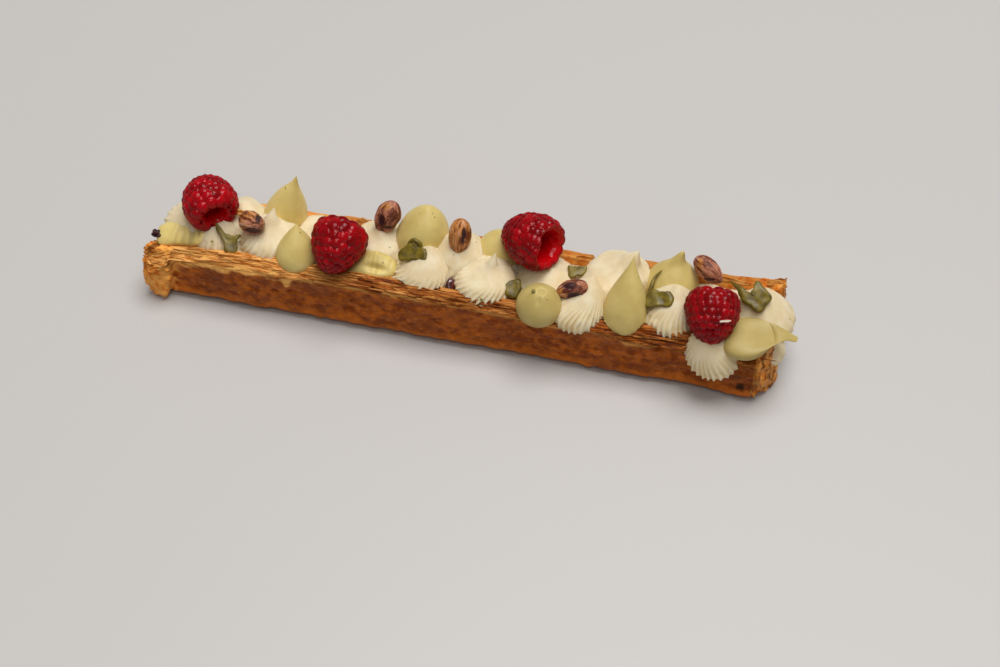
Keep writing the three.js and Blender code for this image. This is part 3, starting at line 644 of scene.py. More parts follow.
    scorched = 0.5 * ramp(x, 108.5, 111.5) * ramp(z, 5, 8.5) * (0.7 + 0.5 * crags(points, (3, 3, 3), 49, 2))
    scorched = np.maximum(scorched, np.exp(-((x - 114.5) / 1.9) ** 4 - ((z - 7.8) / 2.2) ** 4))
    scorched = scorched * outside * (side == "front")
    fields = {"cut": cut * (1 - pale), "pale": pale, "scorched": scorched, "groove": groove,
              "layerTone": np.clip(layerTone, 0, 1), "toasted": toasted}
    if volumeOf(points, squares) < 0:
        squares = [f[:, ::-1] for f in squares]
    piece = buildMesh(name, points, squares, finishes["pastry"], fields, "pastry")
    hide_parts("pastry_trough")


troughHalf("pastry_front_wall", "front", *pastry["frontSteps"])
troughHalf("pastry_back_wall", "back", *pastry["backSteps"])
print("pastry trough made")


# loose flakes

flakes = {
    # how many, range along X, typical length and width, and how far they stand off the edge
    "frontEdge": {"count": 260, "x": (-112, 116), "long": (7, 30), "wide": (0.5, 1.7), "lift": 0.4},
    # curled flakes on the back wall's rim: place, height, length, width, turn about X
    "rim": ((-46, 26.6, 5, 4.2, 1.25), (-52, 25.8, 9, 2.0, 0.9), (38, 25.6, 22, 2.6, 1.4), (46, 26.4, 9, 3.4, 1.2),
            (121, 30.8, 7, 3.2, 1.1), (-95, 23.6, 10, 2.2, 1.0), (70, 27.4, 16, 2.0, 1.2), (104, 28.3, 14, 1.8, 1.2),
            (-20, 25.4, 12, 1.8, 1.1)),
    "single": ({"at": (-94.2, 3.0, 32.4), "length": 8.5, "width": 2.6, "turn": (0.1, 0, 1.1), "curl": 0.8},),
    "thickness": 0.28,
}


def flakeSheet(centre, length, width, turn, curl, seed, thickness, toast):
    # a leaf on (u, v): long and narrow, pointed by (1 - u^2)^0.4, curled by u^2 and v^2, its rim ragged
    # by noise, with a second face one thickness below; turn is its yaw, pitch and roll
    u, v = np.meshgrid(np.linspace(-1, 1, 15), np.linspace(-1, 1, 6), indexing="ij")
    ragged = 1 + 0.35 * noise(np.stack([u * 4, v * 2, 0 * u + seed], -1), 1.0, 100 + seed % 13)
    half = width / 2 * np.power(np.maximum(1 - u ** 2, 0), 0.4) * ragged
    bend = curl * (0.6 * u ** 2 * length * 0.12 + 0.4 * v ** 2 * width * 0.5)
    wave = 0.12 * width * noise(np.stack([u * 3, v * 3, 0 * u + seed * 1.7], -1), 1.0, 40)
    top = np.stack([u * length / 2, v * half, bend + wave], -1)
    low = top - np.array([0, 0, thickness])
    low[..., 1] *= 0.96
    yaw, pitch, roll = turn
    turned = np.array(Euler((roll, pitch, yaw), "XYZ").to_matrix())
    grid = np.concatenate([top, low[:, ::-1]], 1) @ turned.T + np.array(centre)
    grid[0], grid[-1] = grid[0].mean(0), grid[-1].mean(0)
    return closedPart(grid, {"toast": np.full(grid.shape[:2], toast)})


def frontTopHeight(x, y):
    # height of the front wall's cut top at a place
    edge = np.interp(x, pastry["edgeAt"], pastry["edgeHeight"])
    sink = 3 * ramp(-x, 82, 118)
    return np.interp(-y, (10.3, 13.6, 17.4), (24.9 - sink, 24.9 - sink * 0.8, edge)) if np.isscalar(x) else None


def looseFlakes():
    # flakes laid along the cut edge of the front wall, and a few on the back wall's rim and at the ends
    rng = np.random.default_rng(4)
    kind = flakes["frontEdge"]
    made = []
    for k in range(kind["count"]):
        x = rng.uniform(*kind["x"])
        y = -rng.uniform(11.5, 17.3)
        z = float(frontTopHeight(float(x), float(y))) + rng.uniform(-0.05, kind["lift"])
        slope = 0.75 if y < -13.6 else 0.1
        toast = np.clip(0.85 * ramp(x, -84, -28) + 0.15 * ramp(x, 10, 60) + rng.uniform(-0.3, 0.25), 0, 1)
        turn = (rng.normal(0, 0.07), rng.normal(0, 0.03), slope + rng.normal(0, 0.25))
        made.append(flakeSheet((x, y, z), rng.uniform(*kind["long"]), rng.uniform(*kind["wide"]), turn,
                               rng.uniform(-0.2, 0.5), k, flakes["thickness"], toast))
    # layers fanned out at the puffed left end
    for k in range(4):
        centre = (-122.8 + 0.2 * k + rng.normal(0, 0.4), -20.3 + 1.2 * k, 18.2 + 0.8 * k)
        turn = (0.5 + rng.normal(0, 0.12), -0.32 + rng.normal(0, 0.08), 0.6 + rng.normal(0, 0.15))
        toast = 0.15 + 0.6 * (k > 3) + rng.uniform(-0.1, 0.1)
        made.append(flakeSheet(centre, rng.uniform(8, 10), 4.0, turn, 0.6, 200 + k, 0.55, toast))
    for x, z, length, width, roll in flakes["rim"]:
        y = 14.7 + 0.012 * x
        made.append(flakeSheet((x, y, z), length, width, (rng.normal(0, 0.06), 0, roll), 0.6, 300 + int(x), 0.4, 0.15))
    for spec in flakes["single"]:
        made.append(flakeSheet(spec["at"], spec["length"], spec["width"], spec["turn"], spec["curl"], 7, 0.4, 0))
    points, faces, fields = joined(made)
    return buildMesh("pastry_flakes", points, faces, finishes["flake"], fields, "pastry")


looseFlakes()
print("flakes laid")


# jam

jam = {"front": -9.7, "back": 12.3, "low": 4.9, "top": 19.4, "alongSteps": 300}


def jamFilling():
    # a bar through the trough with a wavy, seedy top, its ends bulging a little
    share, around = np.meshgrid(np.linspace(0, 1, jam["alongSteps"]), np.linspace(0, 1, 64, endpoint=False), indexing="ij")
    width, tall = (jam["back"] - jam["front"]) / 2, (jam["top"] - jam["low"]) / 2
    angle = around * fullTurn
    squared = np.maximum(np.abs(np.cos(angle)), np.abs(np.sin(angle)))
    x = (share - 0.5) * (pastry["length"] - 3)
    y = (jam["front"] + jam["back"]) / 2 + width * np.clip(np.cos(angle) / squared, -1, 1)
    z = (jam["low"] + jam["top"]) / 2 + tall * np.clip(np.sin(angle) / squared, -1, 1)
    p = bakedShape(np.stack([x, y, z], -1))
    top = ramp(z, jam["top"] - 2, jam["top"])
    p[..., 2] += top * (0.55 * crags(p, (7, 7, 7), 51, 3) - 0.2)
    for row, push in ((0, -0.6), (-1, 0.6)):
        middle = np.array([[p[row, :, 0].mean() + push, *p[row, :, 1:].mean(0)]])
        p = np.concatenate([np.repeat(middle[None], 64, 1), p] if row == 0 else [p, np.repeat(middle[None], 64, 1)])
    piece = surface("berry_jam_filling", p, finishes["jam"], slot="jam")
    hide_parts("berry_jam")


jamFilling()
print("jam filled")


# piped creams

creamTops = []  # points on the creams where specks may lie
foot = {"height": 23.6, "gaps": (((-2.2, -7.5), (3.4, 4.5)),)}


def creamFoot():
    # the feet of the piped creams run together: a strip on (x, y), lumpy on top, with a gap where jam shows
    steps = (260, 40)
    x, y = np.meshgrid(np.linspace(-121, 121, steps[0]), np.linspace(-9.9, 12.6, steps[1]), indexing="ij")
    spot = np.stack([x, y, 0 * x], -1)
    top = foot["height"] + 1.1 * crags(spot, (9, 7, 7), 61, 3) - 0.006 * (y - 1) ** 2
    for at, size in foot["gaps"]:
        away = ((x - at[0]) / size[0]) ** 2 + ((y - at[1]) / size[1]) ** 2
        top = top - 6 * np.exp(-away ** 2)
    upper = np.stack([x, y, top], -1)
    lower = np.stack([x, y, 0 * x + 18.6], -1)
    grid = np.concatenate([upper, lower[:, ::-1]], 1)
    ends = [np.repeat(grid[k:k + 1 or None].mean(1, keepdims=True), 2 * steps[1], 1) for k in (0, -1)]
    surface("cream_foot", bakedShape(np.concatenate([ends[0], grid, ends[1]])), finishes["cream"], slot="cream")


creamFoot()

rosettes = (
    {"at": (102.2, -13.6, 17.8), "radius": 10.8, "height": 14.5, "lean": (-5, 5), "tilt": 36, "ridges": 28, "crisp": 1.0, "depth": 0.125},
    {"at": (83.2, -3.0, 19.75), "radius": 12.2, "height": 17.5, "lean": (1, 4), "ridges": 32, "crisp": 0.95, "depth": 0.125, "drape": True},
    {"at": (47.3, -8.2, 19.75), "radius": 11.2, "height": 17, "lean": (4, 7), "ridges": 30, "crisp": 0.9, "depth": 0.12, "drape": True},
    {"at": (8.5, -3.6, 19.75), "radius": 12.2, "height": 17.5, "lean": (4, 5), "ridges": 27, "crisp": 0.75, "peak": 0.62, "drape": True},
    {"at": (-16.5, -4, 19.75), "radius": 11.2, "height": 15, "lean": (3, 5), "ridges": 25, "crisp": 0.7, "drape": True},
    {"at": (-81, -1.4, 19.75), "radius": 12, "height": 17.5, "lean": (2, 6), "ridges": 25, "crisp": 0.7, "peak": 0.5},
    {"at": (-103, -3.6, 19.75), "radius": 9, "height": 12.5, "lean": (4, 6), "ridges": 19, "crisp": 0.65},
    {"at": (119, 5, 18.5), "radius": 12.0, "height": 18, "lean": (-4, 2), "ridges": 15, "crisp": 0.8, "depth": 0.05},
    {"at": (121.5, -4.8, 13), "radius": 8, "height": 12.5, "lean": (0, 3), "ridges": 9, "crisp": 0.4},
    {"at": (58.5, 8.5, 19.75), "radius": 13.3, "height": 20, "lean": (8.5, 4.5), "ridges": 17, "crisp": 0.35, "peak": 0.35},
    {"at": (31.5, 5, 19.75), "radius": 12.5, "height": 11.5, "lean": (0, 0), "ridges": 24, "crisp": 0.7},
    {"at": (-4, 7, 19.75), "radius": 12, "height": 17, "lean": (0, 2), "ridges": 19, "crisp": 0.5},
    {"at": (-37, 7.5, 19.75), "radius": 11.5, "height": 15, "lean": (2, 2), "ridges": 19, "crisp": 0.55, "peak": 0.4},
    {"at": (-63, 6.5, 19.75), "radius": 11.5, "height": 9.5, "lean": (0, 1), "ridges": 15, "crisp": 0.4},
    {"at": (-95.5, 7.0, 19.75), "radius": 12, "height": 12.5, "lean": (1, 1), "ridges": 17, "crisp": 0.45},
    {"at": (-113.5, 1.5, 19.75), "radius": 12, "height": 12.5, "lean": (0, 2), "ridges": 23, "crisp": 0.6},
)
piping = {"around": 240, "upwards": 56, "depth": 0.10, "swirl": 0.5, "start": 0.75}


def dropOutline(radius, height, point, rows, start):
    # teardrop: height (cos start - cos a) and radius sin(a) cos(a / 2)^point, a from start to half a turn
    a = np.linspace(start, np.pi, rows)
    widest = 2 / np.sqrt(point + 2) * ((point + 1) / (point + 2)) ** ((point + 1) / 2)
    r = radius * np.sin(a) * np.cos(a / 2) ** point / widest
    r[-1] = 0
    return r, height * (np.cos(start) - np.cos(a)) / (np.cos(start) + 1)


def restOnRim(p):
    # flattens against the inside of the back wall what lies below its rim, and lets what is higher lie
    # on the rim and sag over its far edge
    x, y, z = np.moveaxis(p, -1, 0)
    over = y - 18.3 - 0.012 * x - 0.35 * np.sin(x / 13 + 1)
    rim = 26.6 * (1 + 0.00085 * x + 0.015 * np.sin(x / 9) + 0.11 * ramp(x, 118, 125))
    below = 1 - ramp(z - rim + 0.8 * np.maximum(over, 0), -0.2, 0.3)
    return np.stack([x, y - np.maximum(over + 3.9, 0) * below, z], -1)


def restOnWall(p, clear=0.15):
    # lifts what would sink into the front wall, and lets it sag a little over the outer edge
    x, y, z = np.moveaxis(p, -1, 0).copy()
    edge = np.interp(x, pastry["edgeAt"], pastry["edgeHeight"])
    sink = 3 * ramp(-x, 82, 118)
    level = 24.9 - sink
    slope = edge + (level - edge) * np.clip((y + 17.4) / 3.8, 0, 1)
    floor = np.where(y > -17.4, slope, edge - 1.6 * (-17.4 - y)) + clear
    lift = ramp(-y, 9.6, 10.6)
    return np.stack([x, y, np.maximum(z, z + (floor - z) * lift * (z < floor))], -1)


def creamRosette(name, node, spec, seed):
    # the teardrop's radius falls by depth |sin(n u / 2)|^0.85 between sharp ridges, which twist round
    # it, waver with noise and fade towards the drawn-out tip; its foot spreads a little
    around, upwards, crisp = piping["around"], piping["upwards"], spec["crisp"]
    r, z = dropOutline(spec["radius"], spec["height"], 1.1, upwards, piping["start"])
    share = z / spec["height"]
    r = r * (1 - spec.get("peak", 0) * ramp(share, 0.46, 0.74))
    u = np.linspace(0, fullTurn, around, endpoint=False)
    u, share = np.meshgrid(u, share)
    ring = np.stack([3 * np.cos(u), 3 * np.sin(u), 0 * u + seed * 3.1], -1)
    phase = spec["ridges"] * (u + 0.09 * noise(ring, 1.0, 60 + seed)) / 2
    valley = np.abs(np.sin(phase)) ** (0.85 + 0.6 * (1 - crisp))
    fade = (1 - ramp(share, 0.08 + 0.25 * crisp, 0.52 + 0.26 * crisp)) * (0.75 + 0.5 * noise(ring, 1.4, 80 + seed))
    depth = spec.get("depth", piping["depth"]) * (0.3 + 0.7 * crisp)
    across = r[:, None] * (1 + 0.03 * (1 - share) ** 2) * (1 + depth * (0.35 - valley) * fade)
    softness = (1 - crisp) * (1 - ramp(share, 0.7, 1))
    across = across * (1 + (0.04 + 0.05 * softness) * noise(ring, (2.2, 2.2, 1), 90 + seed) * (1 - share))
    fold = np.sin(3 * u + share * 6 + seed * 1.7 + 2 * noise(ring, 2.5, 97 + seed))
    across = across * (1 + 0.05 * softness * fold)
    torn = noise(np.stack([4 * np.cos(u), 4 * np.sin(u), share * 9 + seed], -1), 1.0, 30 + seed)
    across = across * (1 + 0.035 * torn * np.sin(np.pi * share))
    angle = u + piping["swirl"] * share + 0.15 * np.sin(share * 5 + seed)
    bend = share ** 2
    lean = spec["lean"]
    x = across * np.cos(angle) + lean[0] * bend + 0.5 * np.sin(share * 6 + seed) * share
    y = across * np.sin(angle) + lean[1] * bend
    p = np.stack([x, y, np.broadcast_to(z[:, None], x.shape)], -1)
    tilt = np.array(Matrix.Rotation(np.radians(spec.get("tilt", 0)), 3, "X"))
    p = p @ tilt.T + np.array(spec["at"])
    p = p + 0.15 * noise(p, 2.2, 33)[..., None] * np.array([0, 0, 1]) * (1 - share[..., None])
    p = restOnRim(p)
    if spec.get("drape"):
        p = restOnWall(p)
    creamTops.append(p[6:-20].reshape(-1, 3))
    base = np.repeat(p[:1].mean(1, keepdims=True), around, 1)
    p = np.concatenate([base, p])
    p[-1] = p[-1].mean(0)
    # painted shade in the valleys between crisp ridges
    groove = np.concatenate([np.zeros((1, around)), ramp(valley, 0.5, 1) * np.clip(fade, 0, 1) * crisp])
    piece = surface(name, p, finishes["cream"], {"groove": groove}, "cream")
    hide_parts(node)


for k, spec in enumerate(rosettes, 1):
    creamRosette(f"piped_rosette_{k}", f"cream_rosette_{k}", spec, k)
print("rosettes piped:", len(rosettes))

# light: how light a drop's colour is painted, standing in for how much light falls on it: painted light and shade
drops = (
    {"at": (65.7, -7.8, 20.5), "radius": 8.8, "height": 28.2, "lean": (0.5, 10.3, 0), "point": 1.7, "belly": 0.16,
     "drape": True},
    {"at": (32.6, -12, 20.5), "radius": 9.4, "height": 16.5, "lean": (0.5, -1.2, 0), "point": 0.6, "drape": True,
     "light": 0.28, "pulls": (((33.4, -13.2, 37.0), (1.5, 1.5, 3), (0, 0.4, -1.6)),
                              ((33.0, -16.2, 34.8), (0.8, 2.2, 2), (0, 0, -0.7)),
                              ((31.6, -13.2, 37.0), (1.0, 1.2, 2), (0, 0, 0.35)))},
    {"at": (-67.3, -8.2, 20.5), "radius": 8.2, "height": 18, "lean": (-0.5, 5, 0), "point": 1.1},
    {"at": (112.6, -11.8, 23.2), "radius": 9.6, "height": 17.0, "lean": (20, 5.8, -12.8), "bend": 2.6, "point": 0.9,
     "lumps": 0.03, "light": 0.12, "pulls": (((131.0, -8.2, 28.4), (2.2, 2.2, 2.2), (1.6, -1.0, -0.6)),
                                             ((115, -8, 36), (5, 4, 4), (0, 0.5, -1.6)))},
    {"at": (-114.3, -5.6, 21.2), "radius": 8.8, "height": 6.6, "lean": (-1.5, 1, 0), "point": 0.5, "stretch": 1.36,
     "squash": 0.66, "lumps": 0.1, "light": 0.62, "streaks": 0.8,
     "pulls": (((-122.0, -8.6, 23.0), (5, 3.4, 3), (-0.8, -3.6, -0.6)), ((-106.0, -5.5, 24), (4, 4, 3), (1.4, 0, 1.2)))},
    {"at": (-36.6, -5, 21), "radius": 8.6, "height": 8.2, "lean": (1, 1.5, 0), "point": 0.7, "stretch": 1.15,
     "squash": 0.78, "lumps": 0.1, "light": 0.5, "streaks": 0.3,
     "pulls": (((-34.5, -8.6, 27.6), (4.6, 1.3, 2.0), (0, 0.9, -2.0)), ((-35.5, -3.0, 29.6), (5, 2.5, 2), (0, 0, 0.8)),
               ((-44.0, -9.6, 25), (2.6, 1.8, 2.4), (-2.2, -0.8, -0.6)))},
    {"at": (81, 10, 19.75), "radius": 10.9, "height": 18, "lean": (1.5, 3, 0), "point": 0.7, "light": 0.4,
     "pulls": (((80.6, 13.6, 37.2), (3.0, 2.0, 2.0), (1.6, 1.0, 3.2)), ((84.2, 15.2, 38.6), (1.7, 1.5, 2.2), (0.4, 0.8, 2.6)))},
    {"at": (-20.6, 11.3, 19.75), "radius": 10.5, "height": 22.5, "lean": (2.2, 2.5, 0), "point": 0.45},
    {"at": (10.2, 12, 19.75), "radius": 8.8, "height": 15.5, "lean": (1, 2, 0), "point": 0.6},
    {"at": (-78, 12, 19.75), "radius": 8.9, "height": 26, "lean": (5.5, 2, 0), "point": 1.35, "light": 0.8,
     "pulls": (((-75.5, 12.5, 36), (4, 4, 3), (-1.2, 0, 0)), ((-72.4, 14.2, 45.2), (2, 2, 3), (0.4, 0.2, 1.6)))},
)


def creamDrop(name, node, spec, seed):
    # the same teardrop without ridges, a little lumpy, with its tip leaning and sinking by height^bend;
    # each pull draws the surface near a spot along a vector by exp(-distance^2), and streaks are grooves across
    around, upwards = 150, 96
    r, z = dropOutline(spec["radius"], spec["height"], spec["point"], upwards, 0.6)
    u, share = np.meshgrid(np.linspace(0, fullTurn, around, endpoint=False), z / spec["height"])
    lean, squash = spec["lean"], spec.get("squash", 1)
    bend = share ** spec.get("bend", 2)
    ring = np.stack([np.cos(u), np.sin(u), share * 2 + seed * 2.3], -1)
    across = r[:, None] * (1 + spec.get("lumps", 0.05) * noise(ring, 1.2, 120 + seed))
    across = across * (1 + spec.get("belly", 0) * (1 - ramp(share, 0, 0.3)))
    x = across * np.cos(u) * spec.get("stretch", 1) + lean[0] * bend
    y = across * np.sin(u) * squash + lean[1] * bend
    p = np.stack([x, y, z[:, None] + lean[2] * bend], -1) + np.array(spec["at"])
    for spot, size, pull in spec.get("pulls", ()):
        away = np.linalg.norm((p - np.array(spot)) / np.array(size), axis=-1)
        p = p + np.exp(-away ** 2)[..., None] * np.array(pull)
    streak = noise(np.stack([p[..., 0], 0.1 * p[..., 1], 0 * u], -1), 1.0, 140 + seed)
    streak = streak * ramp(x, -6, 0) * ramp(share, 0.1, 0.4)
    p[..., 2] += spec.get("streaks", 0) * streak
    p = restOnRim(p)
    if spec.get("drape"):
        p = restOnWall(p, 0.9)
    creamTops.append(p[8:-12].reshape(-1, 3))
    base = np.repeat(p[:1].mean(1, keepdims=True), around, 1)
    p = np.concatenate([base, p])
    p[-1] = p[-1].mean(0)
    # painted light and shade: the drop's light value, raised on the raised streaks as a painted highlight
    light = np.concatenate([streak[:1], streak]) * spec.get("streaks", 0) * 0.8 + spec.get("light", 0.5)
    piece = surface(name, p, finishes["pistachioCream"], {"light": np.clip(light, 0, 1)}, "pistachio_cream")
    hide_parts(node)


for k, spec in enumerate(drops, 1):
    creamDrop(f"piped_drop_{k}", f"pistachio_cream_{k}", spec, k)
print("pistachio cream piped:", len(drops))


# raspberries

raspberries = (
    {"at": (-105.6, 2, 36), "radius": 10.8, "length": 21.5, "stem": (0.60, -0.80, -0.1), "hollow": True,
     "drupelet": 3.2, "taper": 0.0, "rim": 2.58, "tone": 0.05},
    {"at": (-50.2, -6.0, 34.2), "radius": 12.5, "length": 22.0, "stem": (0.12, 0.91, 0.38), "hollow": False,
     "drupelet": 3.6, "taper": 0.34, "tone": -0.2},
    {"at": (25.6, 9.5, 38.6), "radius": 11.3, "length": 26, "stem": (0.88, -0.42, 0.2), "hollow": True,
     "drupelet": 3.3, "taper": 0.12, "rim": 2.42, "tone": -0.25},
    {"at": (99, -8.5, 35.8), "radius": 11.0, "length": 22.0, "stem": (-0.1, 0.75, 0.45), "hollow": False,
     "drupelet": 3.3, "taper": 0.18, "tone": -0.35},
)
berry = {"around": 256, "along": 176, "plump": 0.76, "core": 0.90, "hairs": 26}


def thimble(a, u, radius, length, taper):
    # radius sin(a) round the axis, narrower by the taper near the apex and squarer at the stem end, and
    # the length's longer share towards the apex
    upper = a < np.pi / 2
    reach = np.where(upper, 0.58, 0.42)
    across = np.where(upper, np.sin(a), np.abs(np.sin(a)) ** 0.72) * (1 - taper * (1 + np.cos(a)) / 2)
    return np.stack([radius * across * np.cos(u), radius * across * np.sin(u), -length * reach * np.cos(a)], -1)


def drupeletPlaces(spec, rng):
    # rows of places from the apex to the stem end, a drupelet apart, each row shifted by half a place;
    # the drupelets grow from the apex to the stem end
    last = spec["rim"] + 0.02 if spec["hollow"] else 2.95
    places, a, k = [(0.02, 0.0, 0.75)], 0.0, 0
    while True:
        scale = 0.74 + 0.42 * ramp(a, 0.2, 2.2)
        a += scale * spec["drupelet"] * 0.87 / (spec["length"] * 0.5)
        if a > last:
            break
        k += 1
        across = spec["radius"] * np.sin(a) * (1 - spec["taper"] * (1 + np.cos(a)) / 2)
        count = max(3, int(round(fullTurn * across / (spec["drupelet"] * scale))))
        turn = (np.arange(count) + 0.5 * (k % 2)) / count * fullTurn + rng.uniform(0, 0.3)
        places += [(a + rng.normal(0, 0.022), t + rng.normal(0, 0.03), scale) for t in turn]
    return np.array(places)


def raspberryBody(name, node, spec, seed):
    # each point of the thimble is pushed out to the highest of the round caps that stand on it
    rng = np.random.default_rng(seed)
    around, along = berry["around"], berry["along"]
    a, u = np.meshgrid(np.linspace(0, 1, along), np.linspace(0, fullTurn, around, endpoint=False), indexing="ij")
    if spec["hollow"]:
        # the rim wavers with the last drupelets
        wave = noise(np.stack([np.cos(u), np.sin(u), 0 * u + seed], -1), 0.5, 60 + seed)
        a = a * spec["rim"] + 0.09 * wave * a ** 4
    else:
        a = a * np.pi
    core = (spec["radius"] * berry["core"], spec["length"] * berry["core"])
    places = drupeletPlaces(spec, rng)
    base = thimble(a, u, *core, spec["taper"])
    centres = thimble(places[:, 0], places[:, 1], *core, spec["taper"])
    size = spec["drupelet"] * berry["plump"] * places[:, 2] * rng.uniform(0.93, 1.08, len(centres))
    distance = np.stack([np.linalg.norm(base - c, axis=-1) for c in centres])
    cap = np.sqrt(np.maximum(size[:, None, None] ** 2 - distance ** 2, 0))
    nearest = cap.argmax(0)
    height = cap.max(0) - size.mean() * 0.35
    tone = np.clip(rng.uniform(0, 1, len(centres)) + spec["tone"], 0, 1)[nearest]
    outward = base / np.array([core[0] ** 2, core[0] ** 2, (core[1] * 0.5) ** 2])
    outward /= np.maximum(np.linalg.norm(outward, axis=-1, keepdims=True), 1e-9)
    p = base + outward * height[..., None]
    # how deep a point lies between the drupelets: the finish paints these creases darker, as painted shade, and leaves
    # them matt
    crease = 1 - ramp(height / size.mean(), 0.10, 0.42)
    inner = np.zeros_like(height)
    if spec["hollow"]:
        # over the rounded rim, then down a cone with shallow dimples
        rimPoints = p[-1]
        steps = np.linspace(0, 1, 46)[1:, None]
        r0 = np.linalg.norm(rimPoints[:, :2], axis=-1)[None]
        shrink = 1 - 0.30 * np.sin(np.minimum(steps * 4, 1) * np.pi / 2) - 0.25 * steps
        shrink = shrink * np.sqrt(np.maximum(1 - np.maximum(steps - 0.8, 0) ** 2 / 0.04, 0))
        turn = np.broadcast_to(u[-1], (45, around))
        ring = np.stack([3 * np.cos(turn), 3 * np.sin(turn), steps * 6 + 0 * turn], -1)
        r = (r0 * (1 - steps) + r0.mean() * steps) * shrink * (1 + 0.07 * noise(ring, 0.8, 7))
        z = rimPoints[None, :, 2] + 0.7 * np.sin(np.minimum(steps * 5, 1) * np.pi) - core[1] * 0.6 * steps
        hollow = np.stack([r * np.cos(turn), r * np.sin(turn), z + 0 * r], -1)
        hollow[-1] = hollow[-1].mean(0)
        p = np.concatenate([p, hollow])
        tone = np.concatenate([tone, np.full(r.shape, 0.4)])
        inner = np.concatenate([inner, np.broadcast_to(ramp(steps, 0, 0.12), r.shape)])
        crease = np.concatenate([crease, np.broadcast_to(ramp(steps, 0.2, 0.7) * 0.9, r.shape)])
    else:
        p[-1] = p[-1].mean(0)
    p[0] = p[0].mean(0)
    turned = turnedTo(spec["stem"])
    p = p @ turned.T + np.array(spec["at"])
    fields = {"tone": tone, "crease": crease, "inside": inner}
    piece = surface(name, p, finishes["raspberry"], fields, "raspberry")
    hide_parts(node)
    directions = centres / np.linalg.norm(centres, axis=1, keepdims=True)
    tips = centres + directions * size[:, None] * 0.6
    return tips @ turned.T + np.array(spec["at"]), directions @ turned.T


def fineHair(start, direction, length, bend, radius):
    # a three-sided tube along start + t direction + t^2 bend, drawn out to a point
    t = np.linspace(0, 1, 6)[:, None]
    return taperedTube(start + direction * length * t + bend * t ** 2, radius * (1 - 0.9 * t[:, 0]), 3)


hairs = []
rng = np.random.default_rng(12)
for k, spec in enumerate(raspberries, 1):
    tips, directions = raspberryBody(f"raspberry_fruit_{k}", f"raspberry_{k}", spec, k)
    upper = np.flatnonzero(directions[:, 2] > -0.2)
    for j in rng.choice(upper, min(berry["hairs"], len(upper)), replace=False):
        hairs.append(fineHair(tips[j] - directions[j] * 0.3, directions[j], rng.uniform(1.2, 2.4),
                              rng.normal(0, 0.7, 3), 0.07))
points, faces, fields = joined(hairs)
buildMesh("raspberry_hairs", points, faces, finishes["hair"], fields, "raspberry")
print("raspberries made:", len(raspberries))


# pistachios

pistachios = (
    # marks: place to the right of and above the middle as the camera sees it, half width, half height
    {"at": (-86.3, -2.9, 34.2), "length": 12.8, "width": 10.2, "axis": (0.72, -0.42, 0.5), "warm": 0.32,
     "dark": ((3.0, 1.6, 1.2, 2.3), (0.0, -3.9, 6.0, 1.9), (-5.6, 1.2, 1.1, 1.3)),
     "tan": ((0.4, 2.8, 2.6, 2.0),), "keel": 0.5},
    {"at": (-34.3, 10.5, 36), "length": 15.5, "width": 9.4, "axis": (-0.3, -0.38, -0.87), "warm": 0.12,
     "dark": ((-2.3, -1.6, 1.6, 3.2), (1.0, -4.3, 3.2, 0.9)), "tan": ((-0.4, 4.2, 2.4, 1.4),)},
    {"at": (-3.8, 6.5, 36.5), "length": 15.8, "width": 8.6, "axis": (-0.02, -0.45, -0.9), "warm": 0.7,
     "dark": ((2.1, 1.0, 1.2, 2.4), (1.3, -1.6, 0.9, 1.9)), "tan": ((-0.6, -3.0, 2.4, 2.4),)},
    {"at": (44.4, -6.3, 31.8), "length": 13.4, "width": 9.0, "axis": (-0.93, -0.2, -0.25), "warm": 0.12,
     "dark": ((-1.2, 1.5, 3.1, 2.0), (0.9, -2.5, 3.6, 1.7)), "tan": ((-5.0, -0.6, 1.6, 2.0), (-3.0, -2.0, 1.2, 0.9))},
    {"at": (94.5, 12.3, 36), "length": 14.5, "width": 9, "axis": (0.8, -0.55, -0.15), "warm": 0.20,
     "dark": ((-0.6, -4.0, 3.2, 0.7),), "tan": ((-3.6, 2.6, 1.0, 2.2),)},
)


